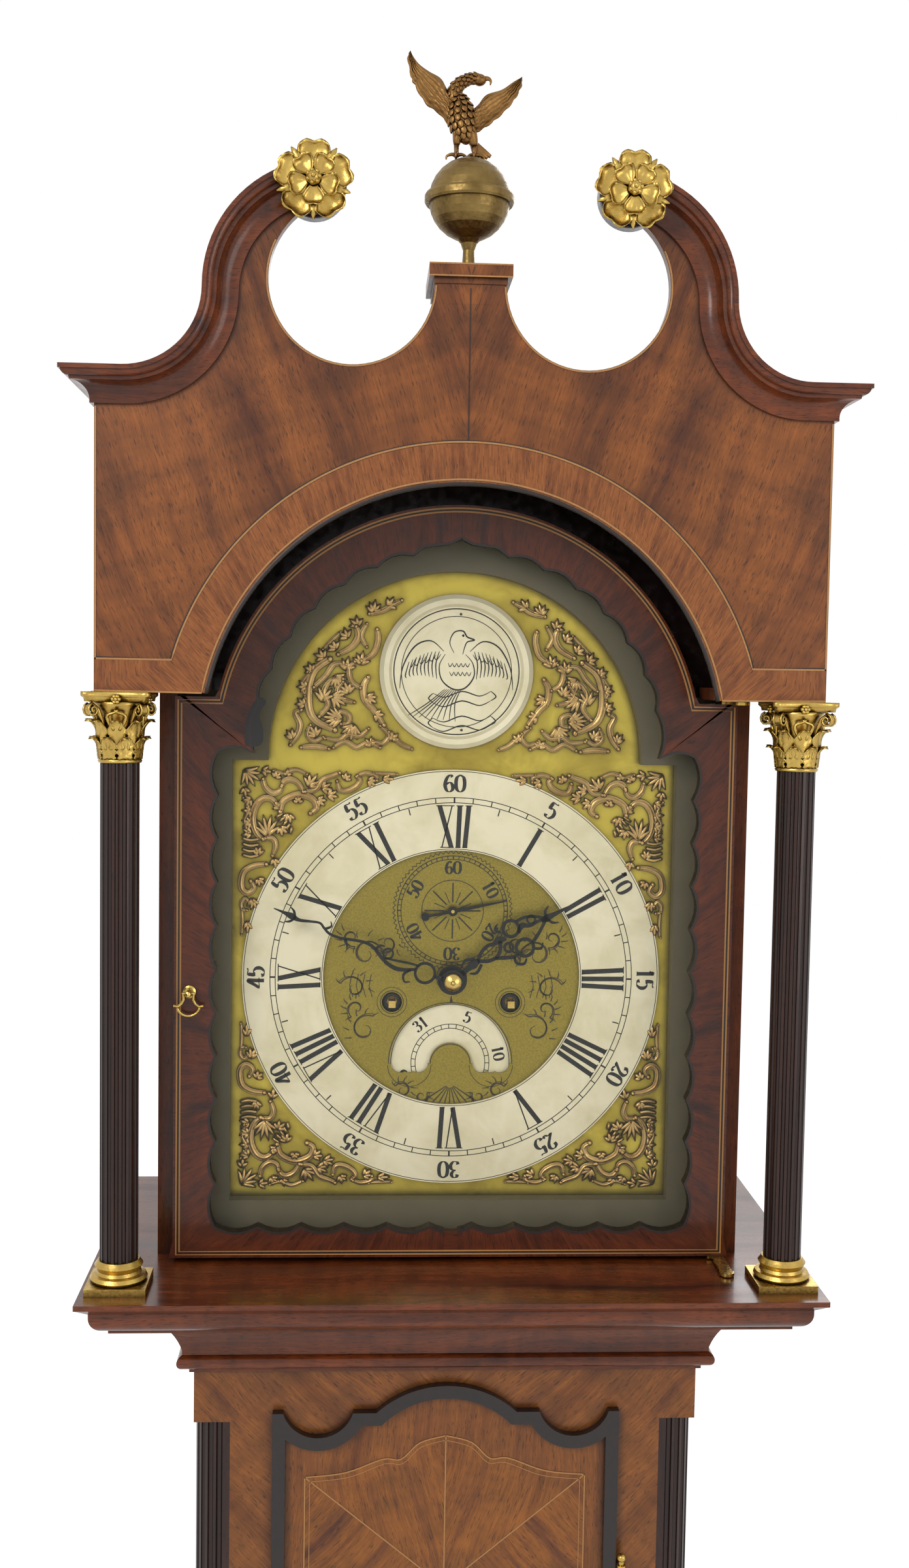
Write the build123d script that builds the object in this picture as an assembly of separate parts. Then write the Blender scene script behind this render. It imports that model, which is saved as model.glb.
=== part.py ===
from build123d import *
from math import atan2, cos, degrees, hypot, pi, radians, sin, sqrt
import os

# Longcase clock. Millimetres, +Z up, floor at Z 0, front towards -Y, X across.
# Heights named *_z are above the floor. Depths named *_y are in the same frame.

# Driving sizes of the case
dial_width = 305.0
dial_shoulder_z = 1850.0
dial_low_z = dial_shoulder_z - dial_width
front_reach = 92.0
hood_depth = 200.0
door_y = (front_reach - hood_depth) / 2
case_back_y = door_y + hood_depth
backboard_t = 12.0
board_t = 12.0
seat_gap = 0.3

# Depths, counted forwards or backwards from the hood door's face
frieze_y = door_y - 55.0
column_y = door_y - 43.0
hood_base_tip_y = door_y - 77.0
trunk_y = door_y + 18.0
dial_y = door_y + 39.0
back_inner_y = case_back_y - backboard_t
hood_back_y = back_inner_y - seat_gap

# Hood: half-widths and heights
hood_half = dial_width / 2 + 47.5
entablature_half = hood_half + 32.0
frieze_bottom_z = dial_shoulder_z + 46.0
cornice_low_z = dial_shoulder_z + 223.5
frieze_board_t = 8.0
frieze_arch_r = dial_width / 2 + 13.5
frieze_arch_z = dial_shoulder_z + 14.0
door_half = hood_half - board_t
door_t = 16.0
door_top_z = dial_shoulder_z + 43.0
door_bottom_z = dial_low_z - 31.0
door_arch_r = frieze_arch_r - 2.0
door_arch_z = dial_shoulder_z + 8.0
door_pivot_x = door_half - 4.0
door_pivot_y = door_y - 30.0
hood_base_top_z = door_bottom_z - 2.8
hood_base_bottom_z = hood_base_top_z - 25.4
hood_base_half = entablature_half + 9.0

# Swan-neck cornice: two arcs and a level run, all with one moulding section
neck_low_x = entablature_half - 19.0
neck_high_x = neck_low_x - 126.0
neck_arc_z = dial_shoulder_z + 293.0
neck_low_r = 69.5
cornice_h = 21.0
cornice_out = 19.0
neck_high_r = neck_low_x - neck_high_x - neck_low_r
neck_end_angle = 113.4
rosette_x = neck_high_x + 10.4
rosette_z = dial_shoulder_z + 356.5
rosette_r = 23.0
ccut_x = neck_high_x - 13.0
ccut_z = dial_shoulder_z + 303.0
ccut_r = 51.6
plinth_cap_half = ccut_x - ccut_r + 3.6
plinth_top_z = dial_shoulder_z + 314.5
finial_y = door_y - 24.0
ball_r = 26.0
ball_band_r = 28.6
ball_z = dial_shoulder_z + 362.5
eagle_top_z = dial_shoulder_z + 455.0

# Columns
column_x = hood_base_half - 23.6
column_r = 12.3
column_bottom_z = hood_base_top_z + 18.8
column_top_z = dial_shoulder_z + 1.0
capital_half = 21.5
plinth_half = 19.6

# Trunk and base
trunk_half = hood_half - 25.0
trunk_top_z = hood_base_bottom_z - 57.8
throat_top_z = hood_base_bottom_z - seat_gap
trunk_door_half = trunk_half - 59.0
trunk_door_t = 14.0
trunk_door_gap = 1.0
trunk_door_top_z = trunk_top_z - 34.0
trunk_door_bottom_z = 655.0
trunk_dip_x = trunk_door_half - 27.0
trunk_dip_up = 13.5
trunk_dip_r = 30.0
trunk_arch_r = 67.8
trunk_arch_rise = 20.0
lip_w = 9.0
lip_t = 7.0
corner_r = 21.0
corner_top_z = trunk_top_z - 37.0
corner_bottom_z = 640.0
base_top_z = 560.0
throat_out = 39.0
base_half = trunk_half + throat_out
base_y = trunk_y - throat_out
skirting_h = 95.0
skirting_out = 9.0
base_moulding_h = 44.0

# Movement
dial_t = 1.8
dial_overlap = 2.0
arch_r = dial_width / 2 - 24.5
ring_out_r = dial_width / 2 - 7.0
ring_in_r = 89.5
arch_z = dial_shoulder_z + 2.0
centre_z = (dial_shoulder_z + dial_low_z) / 2 + 1.5
front_plate_y = dial_y + dial_t + 27.0
plate_t = 3.0
plate_gap = 62.0
back_plate_y = front_plate_y + plate_t + plate_gap
plate_half = 70.0
plate_bottom_z = centre_z - 85.0
plate_top_z = centre_z + 91.0
barrel_x = 41.4
barrel_z = centre_z - 17.5
barrel_r = 26.0
barrel_l = 36.0
arbor_r = 2.5
fine_arbor_r = 1.2
run_gap = 0.05
air = 0.3
winding_square = 7.0
bell_r = 42.0
date_z = centre_z - 61.0
stud_r = 1.4
seconds_z = centre_z + 47.0
anchor_z = centre_z + 71.0
seat_t = 20.0
pendulum_y = back_plate_y + plate_t + 18.0
pendulum_length = 994.0
bob_r = 55.0
bob_t = 25.0
weight_r = 30.0
weight_h = 230.0
weight_bottom_z = 150.0
weight_y = front_plate_y + plate_t + plate_gap / 2
pulley_r = 22.0
line_r = 0.9

# Gear train: wheel and pinion teeth
great_teeth = 96
centre_pinion_teeth = 8
centre_teeth = 60
third_pinion_teeth = 8
third_teeth = 56
escape_pinion_teeth = 7
escape_teeth = 30
centre_module = 0.8
third_module = 0.7
strike_teeth = 84
strike_pinion_teeth = 8
cannon_teeth = 36
hour_teeth = 72
minute_pinion_teeth = 6
minute_wheel_drop = 30.0

# Rest pose: the hands as photographed, in degrees clockwise from twelve
minute_angle = 292.2
hour_angle = 56.9
second_angle = 78.3

parts = {}


def box(x0, x1, y0, y1, z0, z1):
    return Pos((x0 + x1) / 2, (y0 + y1) / 2, (z0 + z1) / 2) * Box(x1 - x0, y1 - y0, z1 - z0)


def rod_x(y, z, r, x0, x1):
    return Pos((x0 + x1) / 2, y, z) * Rot(0, 90, 0) * Cylinder(r, x1 - x0)


def rod_y(x, z, r, y0, y1):
    return Pos(x, (y0 + y1) / 2, z) * Rot(90, 0, 0) * Cylinder(r, y1 - y0)


def rod_z(x, y, r, z0, z1):
    return Pos(x, y, (z0 + z1) / 2) * Cylinder(r, z1 - z0)


def slab(sketch, y_front, y_back):
    """A flat piece whose outline is drawn in (x, z) and whose depth runs from y_front to y_back."""
    at = Plane(origin=(0, y_back, 0), x_dir=(1, 0, 0), z_dir=(0, -1, 0))
    return extrude(at * sketch, amount=y_back - y_front, dir=(0, -1, 0))


def lathe_z(x, y, points):
    """A turned piece on an upright axis, from (radius, z) points."""
    face = Plane.XZ * Polygon(*points, align=None)
    return Pos(x, y, 0) * revolve(face, Axis.Z)


def lathe_y(x, z, points):
    """A turned piece on a fore-and-aft axis, from (radius, y) points."""
    return Pos(x, 0, z) * revolve(Polygon(*points, align=None), Axis.Y)


def mirrored(piece):
    return mirror(piece, about=Plane.YZ)


def both(piece):
    return [piece, mirrored(piece)]


def rectangle(x0, x1, z0, z1):
    return Pos((x0 + x1) / 2, (z0 + z1) / 2) * Rectangle(x1 - x0, z1 - z0)


def disc(x, z, r):
    return Pos(x, z) * Circle(r)


def group(*pieces):
    """Separate solids kept together under one name."""
    solids = []
    for piece in pieces:
        solids += list(piece) if isinstance(piece, (list, tuple)) else [piece]
    return Compound([solid for item in solids for solid in item.solids()])


def three_sides(section, half, y_front, y_back):
    """A mitred moulding round the left, front and right. section holds (out, z) edges."""
    path = Polyline((-half, y_back, 0), (-half, y_front, 0), (half, y_front, 0), (half, y_back, 0))
    flat = Plane(origin=(-half, y_back, 0), x_dir=(-1, 0, 0), z_dir=(0, 1, 0))
    return sweep(flat * section, path=path, transition=Transition.RIGHT)


# Gears: straight-flanked teeth with real counts, spacing and generous backlash
def tooth_ring(teeth, module, add, ded, root_share, tip_share, centre_angle):
    pitch = 2 * pi / teeth
    root = module * (teeth / 2 - ded)
    tip = module * (teeth / 2 + add)
    points = []
    for n in range(teeth):
        mid = radians(centre_angle) + n * pitch
        for r, share in ((root, -root_share), (tip, -tip_share), (tip, tip_share), (root, root_share)):
            points.append((r * cos(mid + share * pitch), r * sin(mid + share * pitch)))
    return Polygon(*points, align=None)


def wheel_outline(teeth, module, bore, toward, arms=5):
    """A wheel with a tooth centred on the direction toward, in degrees, and crossed-out arms."""
    rim = module * (teeth / 2 - 1.3) - 2.4
    hub = bore + 4.0
    outline = tooth_ring(teeth, module, 0.9, 1.3, 0.25, 0.09, toward)
    if rim > hub + 4:
        outline -= Circle(rim)
        outline += Circle(hub)
        for n in range(arms):
            arm = Pos((hub + rim) / 2 - 0.5, 0) * Rectangle(rim - hub + 3, 2.4)
            outline += Rot(0, 0, 360 * n / arms) * arm
    return outline - Circle(bore)


def pinion_outline(teeth, module, toward):
    """A pinion with a gap between two leaves centred on the direction toward."""
    return tooth_ring(teeth, module, 0.6, 1.25, 0.17, 0.10, toward + 180 / teeth)


def heading(x0, z0, x1, z1):
    return degrees(atan2(z1 - z0, x1 - x0))


# Case: base
def base_pieces():
    inner = base_half - board_t
    sides = both(box(inner, base_half, base_y + board_t, back_inner_y, 0, base_top_z))
    front = box(-base_half, base_half, base_y, base_y + board_t, 0, base_top_z)
    floor = box(-inner, inner, base_y + board_t, back_inner_y, 40, 40 + board_t)
    ledge = box(-inner, inner, base_y + board_t, trunk_y, base_top_z - board_t, base_top_z)
    side_ledge = both(box(trunk_half, inner, trunk_y, back_inner_y, base_top_z - board_t, base_top_z))
    panel = slab(
        rectangle(-base_half + 42, base_half - 42, skirting_h + 45, base_top_z - 42), base_y - 4, base_y
    )
    panel = fillet(panel.edges().group_by(Axis.Y)[0], 2.5)
    parts["base_carcase"] = group(sides, front, floor, ledge, side_ledge, panel)
    low = skirting_h
    section = make_face(
        Polyline((0, 0), (skirting_out, 0), (skirting_out, low - 16), (skirting_out - 3, low - 13))
        + ThreePointArc((skirting_out - 3, low - 13), (2.6, low - 7.5), (2, low))
        + Polyline((2, low), (0, low), (0, 0))
    )
    skirting = three_sides(section, base_half, base_y, back_inner_y)
    rise = base_half - trunk_half
    top = base_moulding_h
    cove = make_face(
        Polyline((0, 0), (rise + 4, 0))
        + ThreePointArc((rise + 4, 0), (rise + 8, 4.5), (rise + 3, 9))
        + Line((rise + 3, 9), (rise - 3, 10))
        + ThreePointArc((rise - 3, 10), (10.5, 18), (3, top - 3))
        + Polyline((3, top - 3), (3, top), (0, top), (0, 0))
    )
    moulding = Pos(0, 0, base_top_z) * three_sides(cove, trunk_half, trunk_y, back_inner_y)
    parts["base_mouldings"] = group(skirting, moulding)


# Case: trunk
def trunk_door_outline(grow):
    """The trunk door's outline, grown by a margin: a flat arch between two hollow dips."""
    half = trunk_door_half + grow
    ledge = trunk_door_top_z + 1 + grow
    outline = rectangle(-half, half, trunk_door_bottom_z - grow, ledge)
    for x in (-trunk_dip_x, trunk_dip_x):
        outline -= disc(x, trunk_door_top_z + trunk_dip_up, trunk_dip_r - grow)
    arch_mid = trunk_door_top_z + trunk_arch_rise - trunk_arch_r
    above = rectangle(-half, half, ledge - 15, ledge + trunk_arch_rise)
    return outline + (disc(0, arch_mid, trunk_arch_r + grow) & above)


hinge_x = trunk_door_half + lip_w / 2 + 3.4
hinge_y = trunk_y - lip_t - 2.5
hinge_r = 3.2
hinge_h = 60.0
hinge_leaf_t = 1.5
hinge_levels = (trunk_door_top_z - 134.0, trunk_door_bottom_z + 95.0)


def case_leaf(z0, z1):
    """The fixed leaf of a hinge, let into the frame's front."""
    return box(hinge_x - hinge_leaf_t / 2, hinge_x + hinge_leaf_t / 2, hinge_y, trunk_y + 12, z0, z1)


def trunk_pieces():
    cheek_top = plate_bottom_z - seat_t
    inner = trunk_half - board_t
    side = box(inner, trunk_half, trunk_y + corner_r + 4, back_inner_y, base_top_z - 20, cheek_top)
    parts["trunk_sides"] = group(both(side))
    frame_t = 18.0
    frame = slab(rectangle(-trunk_half, trunk_half, base_top_z, trunk_top_z + 50), trunk_y, trunk_y + frame_t)
    frame -= slab(trunk_door_outline(trunk_door_gap), trunk_y - 1, trunk_y + frame_t + 1)
    stile_x = trunk_half - board_t
    for side_piece in both(box(stile_x, trunk_half, trunk_y + frame_t, trunk_y + corner_r + 4,
                               base_top_z, trunk_top_z + 50)):
        frame += side_piece
    corner = both(box(trunk_half - corner_r - 4, trunk_half + 1, trunk_y - 1, trunk_y + corner_r + 4,
                      corner_bottom_z, corner_top_z))
    frame -= corner[0] + corner[1]
    for level in hinge_levels:
        for z0 in (level - hinge_h / 2, level + hinge_h / 6):
            frame -= case_leaf(z0, z0 + hinge_h / 3)
    parts["trunk_front_frame"] = group(frame)
    flutes = Circle(corner_r)
    for n in range(5):
        a = radians(-90 + 9 + 18 * n)
        flutes -= Pos(corner_r * cos(a), corner_r * sin(a)) * Circle(2.2)
    quarter = flutes & Pos(corner_r, -corner_r) * Rectangle(2 * corner_r, 2 * corner_r)
    quarter += Polygon((-4, -corner_r), (0, -corner_r), (0, 0), (corner_r, 0), (corner_r, 4), (-4, 4), align=None)
    post = extrude(quarter, amount=corner_top_z - corner_bottom_z, dir=(0, 0, 1))
    post = Pos(trunk_half - corner_r, trunk_y + corner_r, corner_bottom_z) * post
    parts["trunk_corner_columns"] = group(both(post))
    parts["backboard"] = group(slab(
        rectangle(-base_half, base_half, 0, base_top_z)
        + rectangle(-trunk_half, trunk_half, base_top_z, throat_top_z)
        + rectangle(-hood_half, hood_half, throat_top_z, cornice_low_z), back_inner_y, case_back_y))
    low = trunk_top_z - throat_top_z
    cove = make_face(
        Polyline((0, 0), (throat_out, 0), (throat_out, -3))
        + ThreePointArc((throat_out, -3), (17, -21), (7.4, low + 17))
        + Line((7.4, low + 17), (7.4, low + 14))
        + ThreePointArc((7.4, low + 14), (11, low + 9), (7.4, low + 4))
        + Polyline((7.4, low + 4), (3, low + 3), (3, low), (0, low), (0, 0))
    )
    throat = Pos(0, 0, throat_top_z) * three_sides(cove, trunk_half, trunk_y, back_inner_y)
    throat_frame = box(-inner, inner, trunk_y + frame_t, trunk_y + frame_t + 24, trunk_top_z + 30,
                       trunk_top_z + 50)
    parts["throat_moulding"] = group(throat, throat_frame)
    seat_back = back_plate_y + plate_t + 5
    seat = box(-trunk_half, trunk_half, dial_y + 16, seat_back, cheek_top, plate_bottom_z)
    for side_sign in (1, -1):
        for x in (barrel_x + barrel_r + line_r, barrel_x + barrel_r + line_r - 2 * (pulley_r + line_r)):
            seat -= rod_z(side_sign * x, weight_y, 3.0, cheek_top - 1, plate_bottom_z + 1)
    parts["seatboard"] = group(seat)


def trunk_door_pieces():
    panel = slab(trunk_door_outline(0), trunk_y - air, trunk_y + trunk_door_t)
    # The back of the corner by the hinges is cut away so it swings clear of the frame
    panel -= slab(rectangle(trunk_dip_x, trunk_door_half + 1, trunk_door_top_z + trunk_dip_up - trunk_dip_r,
                            trunk_door_top_z + 5), trunk_y + 1.2, trunk_y + trunk_door_t + 1)
    parts["trunk_door"] = group(panel)
    ring = trunk_door_outline(lip_w / 2) - trunk_door_outline(-lip_w / 2)
    lip = slab(ring, trunk_y - lip_t, trunk_y - air)
    leaves = []
    knuckles = []
    for level in hinge_levels:
        third = hinge_h / 3
        z0, z1 = level - third / 2 + 0.15, level + third / 2 - 0.15
        leaf = box(hinge_x - 14, hinge_x + hinge_leaf_t / 2, trunk_y - air - hinge_leaf_t, trunk_y - air, z0, z1)
        web = box(hinge_x - hinge_leaf_t / 2, hinge_x + hinge_leaf_t / 2, hinge_y, trunk_y - air, z0, z1)
        knuckle = rod_z(hinge_x, hinge_y, hinge_r, z0, z1) - rod_z(hinge_x, hinge_y, 1.5 + run_gap, z0, z1)
        bore = rod_z(hinge_x, hinge_y, 1.5 + run_gap, z0, z1)
        knuckles.append(leaf + web + knuckle - bore)
        lip -= leaf
        fixed = rod_z(hinge_x, hinge_y, 1.5, level - hinge_h / 2, level + hinge_h / 2)
        for low in (level - hinge_h / 2, level + hinge_h / 6):
            fixed += rod_z(hinge_x, hinge_y, hinge_r, low, low + third)
            fixed += case_leaf(low, low + third)
        for end, way in ((level + hinge_h / 2, 1), (level - hinge_h / 2, -1)):
            fixed += rod_z(hinge_x, hinge_y, 2.0, min(end, end + 3 * way), max(end, end + 3 * way))
            fixed += Pos(hinge_x, hinge_y, end + 5 * way) * Sphere(3.1)
        leaves.append(fixed)
    parts["trunk_door_lip"] = group(lip)
    parts["trunk_hinge_pins"] = group(leaves)
    parts["trunk_hinge_knuckles"] = group(knuckles)
    lock_x = -trunk_door_half + 24
    lock_z = 1010.0
    plate = disc(0, 7, 8) + Polygon((-5, 6), (5, 6), (8, -17), (0, -22), (-8, -17), align=None)
    hole = disc(0, 5, 2.6) + rectangle(-1.3, 1.3, -8, 5)
    escutcheon = slab(Pos(lock_x, lock_z) * (plate - hole), trunk_y - air - 1.4, trunk_y - air)
    parts["trunk_door_escutcheon"] = group(escutcheon)


# Hood
def cornice_section(origin_w, sign):
    """The cornice's section in (radius or height, depth): hollow below, round lip above."""
    def at(w, f):
        return origin_w + sign * w, frieze_y - f
    return make_face(
        Polyline(at(0, 0), at(0, 2.5), at(2.5, 2.5))
        + ThreePointArc(at(2.5, 2.5), at(9.5, 5.5), at(12.5, 13))
        + Polyline(at(12.5, 13), at(14.5, 13.5))
        + ThreePointArc(at(14.5, 13.5), at(15.6, 16.6), at(18.2, 17.8))
        + Polyline(at(18.2, 17.8), at(18.2, cornice_out), at(cornice_h, cornice_out), at(cornice_h, 0), at(0, 0))
    )


def swan_neck():
    """The left swan neck, from the level run at the corner up to the rosette."""
    low = Pos(-neck_low_x, 0, neck_arc_z) * revolve(
        cornice_section(neck_low_r, -1), Axis.Y, revolution_arc=90)
    turned = revolve(cornice_section(neck_high_r, 1), Axis.Y, revolution_arc=180 - neck_end_angle)
    high = Pos(-neck_high_x, 0, neck_arc_z) * Rot(0, -180, 0) * turned
    section = cornice_section(cornice_low_z, 1)
    flat = Plane(origin=(-entablature_half, hood_back_y, 0), x_dir=(0, 0, 1), z_dir=(0, 1, 0))
    level = flat * (Pos(0, -frieze_y) * section)
    path = Polyline((-entablature_half, hood_back_y, 0), (-entablature_half, frieze_y, 0),
                    (-neck_low_x, frieze_y, 0))
    run = sweep(level, path=path, transition=Transition.RIGHT)
    return low + high + run


def tympanum_outline():
    """The veneered board: arch below, swan-neck top, hollow cuts beside the centre plinth."""
    neck_r_out = neck_low_r - cornice_h
    high_r_out = neck_high_r + cornice_h
    board = rectangle(-entablature_half, entablature_half, frieze_bottom_z, cornice_low_z + cornice_h)
    upper = rectangle(-neck_low_x, neck_low_x, cornice_low_z + cornice_h, neck_arc_z)
    for x in (-neck_low_x, neck_low_x):
        upper -= disc(x, neck_arc_z, neck_r_out)
    above = rectangle(-neck_high_x - high_r_out, neck_high_x + high_r_out, neck_arc_z, neck_arc_z + high_r_out)
    shoulders = disc(-neck_high_x, neck_arc_z, high_r_out) + disc(neck_high_x, neck_arc_z, high_r_out)
    board += upper
    board += above & shoulders
    board -= rectangle(-ccut_x, ccut_x, plinth_top_z - 12, plinth_top_z + 80)
    for x in (-ccut_x, ccut_x):
        board -= disc(x, ccut_z, ccut_r)
    board -= rectangle(-rosette_x + 2, rosette_x - 2, ccut_z + 20, ccut_z + 90)
    board -= disc(0, frieze_arch_z, frieze_arch_r) & rectangle(-200, 200, frieze_bottom_z - 1, frieze_bottom_z + 200)
    return board


def hood_fixed_pieces():
    inner = hood_half - board_t
    door_back = door_y + door_t + air
    side = box(inner, hood_half, door_back, hood_back_y, hood_base_top_z, frieze_bottom_z)
    soffit = box(hood_half - 35, entablature_half, frieze_y + frieze_board_t, door_back, frieze_bottom_z,
                 frieze_bottom_z + 8)
    soffit += box(inner, entablature_half, door_back, hood_back_y, frieze_bottom_z, frieze_bottom_z + 8)
    soffit -= rod_z(door_pivot_x, door_pivot_y, 2.5 + run_gap, frieze_bottom_z - 1, frieze_bottom_z + 20)
    upper = box(entablature_half - board_t, entablature_half, frieze_y + frieze_board_t, hood_back_y,
                frieze_bottom_z + 8, cornice_low_z)
    roof = box(-entablature_half, entablature_half, frieze_y + frieze_board_t, hood_back_y, cornice_low_z,
               cornice_low_z + 8)
    parts["hood_carcase"] = group(both(side), both(soffit), both(upper), roof)
    board = slab(tympanum_outline(), frieze_y, frieze_y + frieze_board_t)
    block = box(-plinth_cap_half + 4, plinth_cap_half - 4, frieze_y + frieze_board_t, finial_y + 24,
                cornice_low_z + 8, plinth_top_z - 12)
    cap = box(-plinth_cap_half + 3, plinth_cap_half - 3, frieze_y - 1, finial_y + 27, plinth_top_z - 12,
              plinth_top_z - 8)
    cap += box(-plinth_cap_half, plinth_cap_half, frieze_y - 4, finial_y + 30, plinth_top_z - 8, plinth_top_z)
    parts["hood_tympanum"] = group(board - cap, block + cap)
    neck = swan_neck()
    parts["swan_neck_cornices"] = group(both(neck))
    # Rosette: a dished back, five outer and five inner petals and a bud
    front = door_y - front_reach
    back = frieze_y - cornice_out
    rosette = lathe_y(rosette_x, rosette_z, [(0, frieze_y), (12, frieze_y), (13, back), (rosette_r - 4, back),
                                            (rosette_r - 3, back - 2.5), (9, back - 3.6), (6, back - 6),
                                            (4.2, front + 5), (3.4, front + 1.6), (0, front)])
    for n in range(5):
        for reach, size, turn, lift in ((14.0, 9.0, 90, 3.2), (8.0, 6.0, 54, 5.6)):
            a = radians(turn + 72 * n)
            petal = Pos(rosette_x + reach * cos(a), back - lift, rosette_z + reach * sin(a))
            petal *= Rot(0, -degrees(a), 0)
            rosette += petal * (scale(Sphere(1), by=(size, 2.6, size * 0.92)))
    parts["rosettes"] = group(both(rosette))
    base_section = make_face(
        Polyline((-18, 0), (0, 0), (0, -3.4), (-1.5, -4.2), (-8, -8.5), (-8, -11.5))
        + ThreePointArc((-8, -11.5), (-11, -19), (-19, -23))
        + Polyline((-19, -23), (-19, hood_base_bottom_z - hood_base_top_z), (-36, hood_base_bottom_z
                   - hood_base_top_z), (-36, 0), (-18, 0))
    )
    tread = three_sides(base_section, hood_base_half, hood_base_tip_y, hood_back_y)
    shelf = box(-(hood_base_half - 36), hood_base_half - 36, hood_base_tip_y + 36, door_y + door_t + 12,
                hood_base_bottom_z - hood_base_top_z, 0)
    rails = both(box(trunk_half + 2, hood_base_half - 36, door_y + door_t + 12, hood_back_y,
                     hood_base_bottom_z - hood_base_top_z, 0))
    base = Pos(0, 0, hood_base_top_z) * (tread + shelf + rails[0] + rails[1])
    base -= rod_z(door_pivot_x, door_pivot_y, 2.5 + run_gap, hood_base_bottom_z + 5, hood_base_top_z + 1)
    parts["hood_base_moulding"] = group(base)
    sight = rectangle(-dial_width / 2, dial_width / 2, dial_shoulder_z - dial_width, dial_shoulder_z)
    sight += disc(0, arch_z, arch_r)
    mask = rectangle(-inner, inner, hood_base_top_z, frieze_bottom_z) + (
        disc(0, dial_shoulder_z, inner - 8) & rectangle(-inner, inner, dial_shoulder_z, cornice_low_z))
    mask_y = door_y + door_t + 10
    mask_board = slab(mask - sight, mask_y, mask_y + 10)
    parts["dial_mask"] = group(mask_board)


def column_pieces():
    outline = Circle(column_r)
    reeds = 16
    for n in range(reeds):
        a = 2 * pi * n / reeds
        outline -= Pos(column_r * cos(a), column_r * sin(a)) * Circle(1.45)
    shaft = Pos(column_x, column_y, column_bottom_z) * extrude(outline, amount=column_top_z - column_bottom_z)
    parts["column_shafts"] = group(both(shaft))
    low, top = column_top_z, frieze_bottom_z
    bell = lathe_z(column_x, column_y, [(0, low), (13.5, low), (14, low + 2), (12.4, low + 3.5), (12.8, low + 16),
                                        (14.5, low + 27), (17.5, low + 35), (19, top - 6), (0, top - 6)])
    abacus = Rectangle(2 * capital_half, 2 * capital_half)
    for n in range(4):
        abacus -= Rot(0, 0, 90 * n) * Pos(capital_half + 26, 0) * Circle(31)
    capital = bell + Pos(column_x, column_y, top - 6) * extrude(abacus, amount=6)
    for row, (height, start, bulge) in enumerate(((13.0, low + 3, 15.6), (22.0, low + 5, 17.0))):
        for n in range(8):
            a = radians(45 * n + 22.5 * row)
            leaf = Pos(column_x + (bulge - 2.5) * cos(a), column_y + (bulge - 2.5) * sin(a), start + height / 2)
            capital += leaf * Rot(0, 0, degrees(a)) * scale(Sphere(1), by=(2.6, 4.2, height / 2))
    for n in range(4):
        a = radians(45 + 90 * n)
        scroll = Pos(column_x + 22 * cos(a), column_y + 22 * sin(a), top - 10.5) * Rot(0, 0, degrees(a))
        capital += scroll * Rot(90, 0, 0) * Cylinder(4.4, 5)
    parts["column_capitals"] = group(both(capital))
    foot, high = hood_base_top_z, column_bottom_z
    ring = lathe_z(column_x, column_y, [(0, foot + 5), (17.4, foot + 5), (18.4, foot + 7), (17.2, foot + 9.3),
                                        (14.6, foot + 10), (13.8, foot + 12), (14.6, foot + 13.6), (15.6, foot + 15.4),
                                        (14.4, foot + 17), (13.2, high), (0, high)])
    plinth = box(column_x - plinth_half, column_x + plinth_half, column_y - plinth_half, column_y + plinth_half,
                 foot, foot + 5)
    parts["column_bases"] = group(both(ring + plinth))


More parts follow.
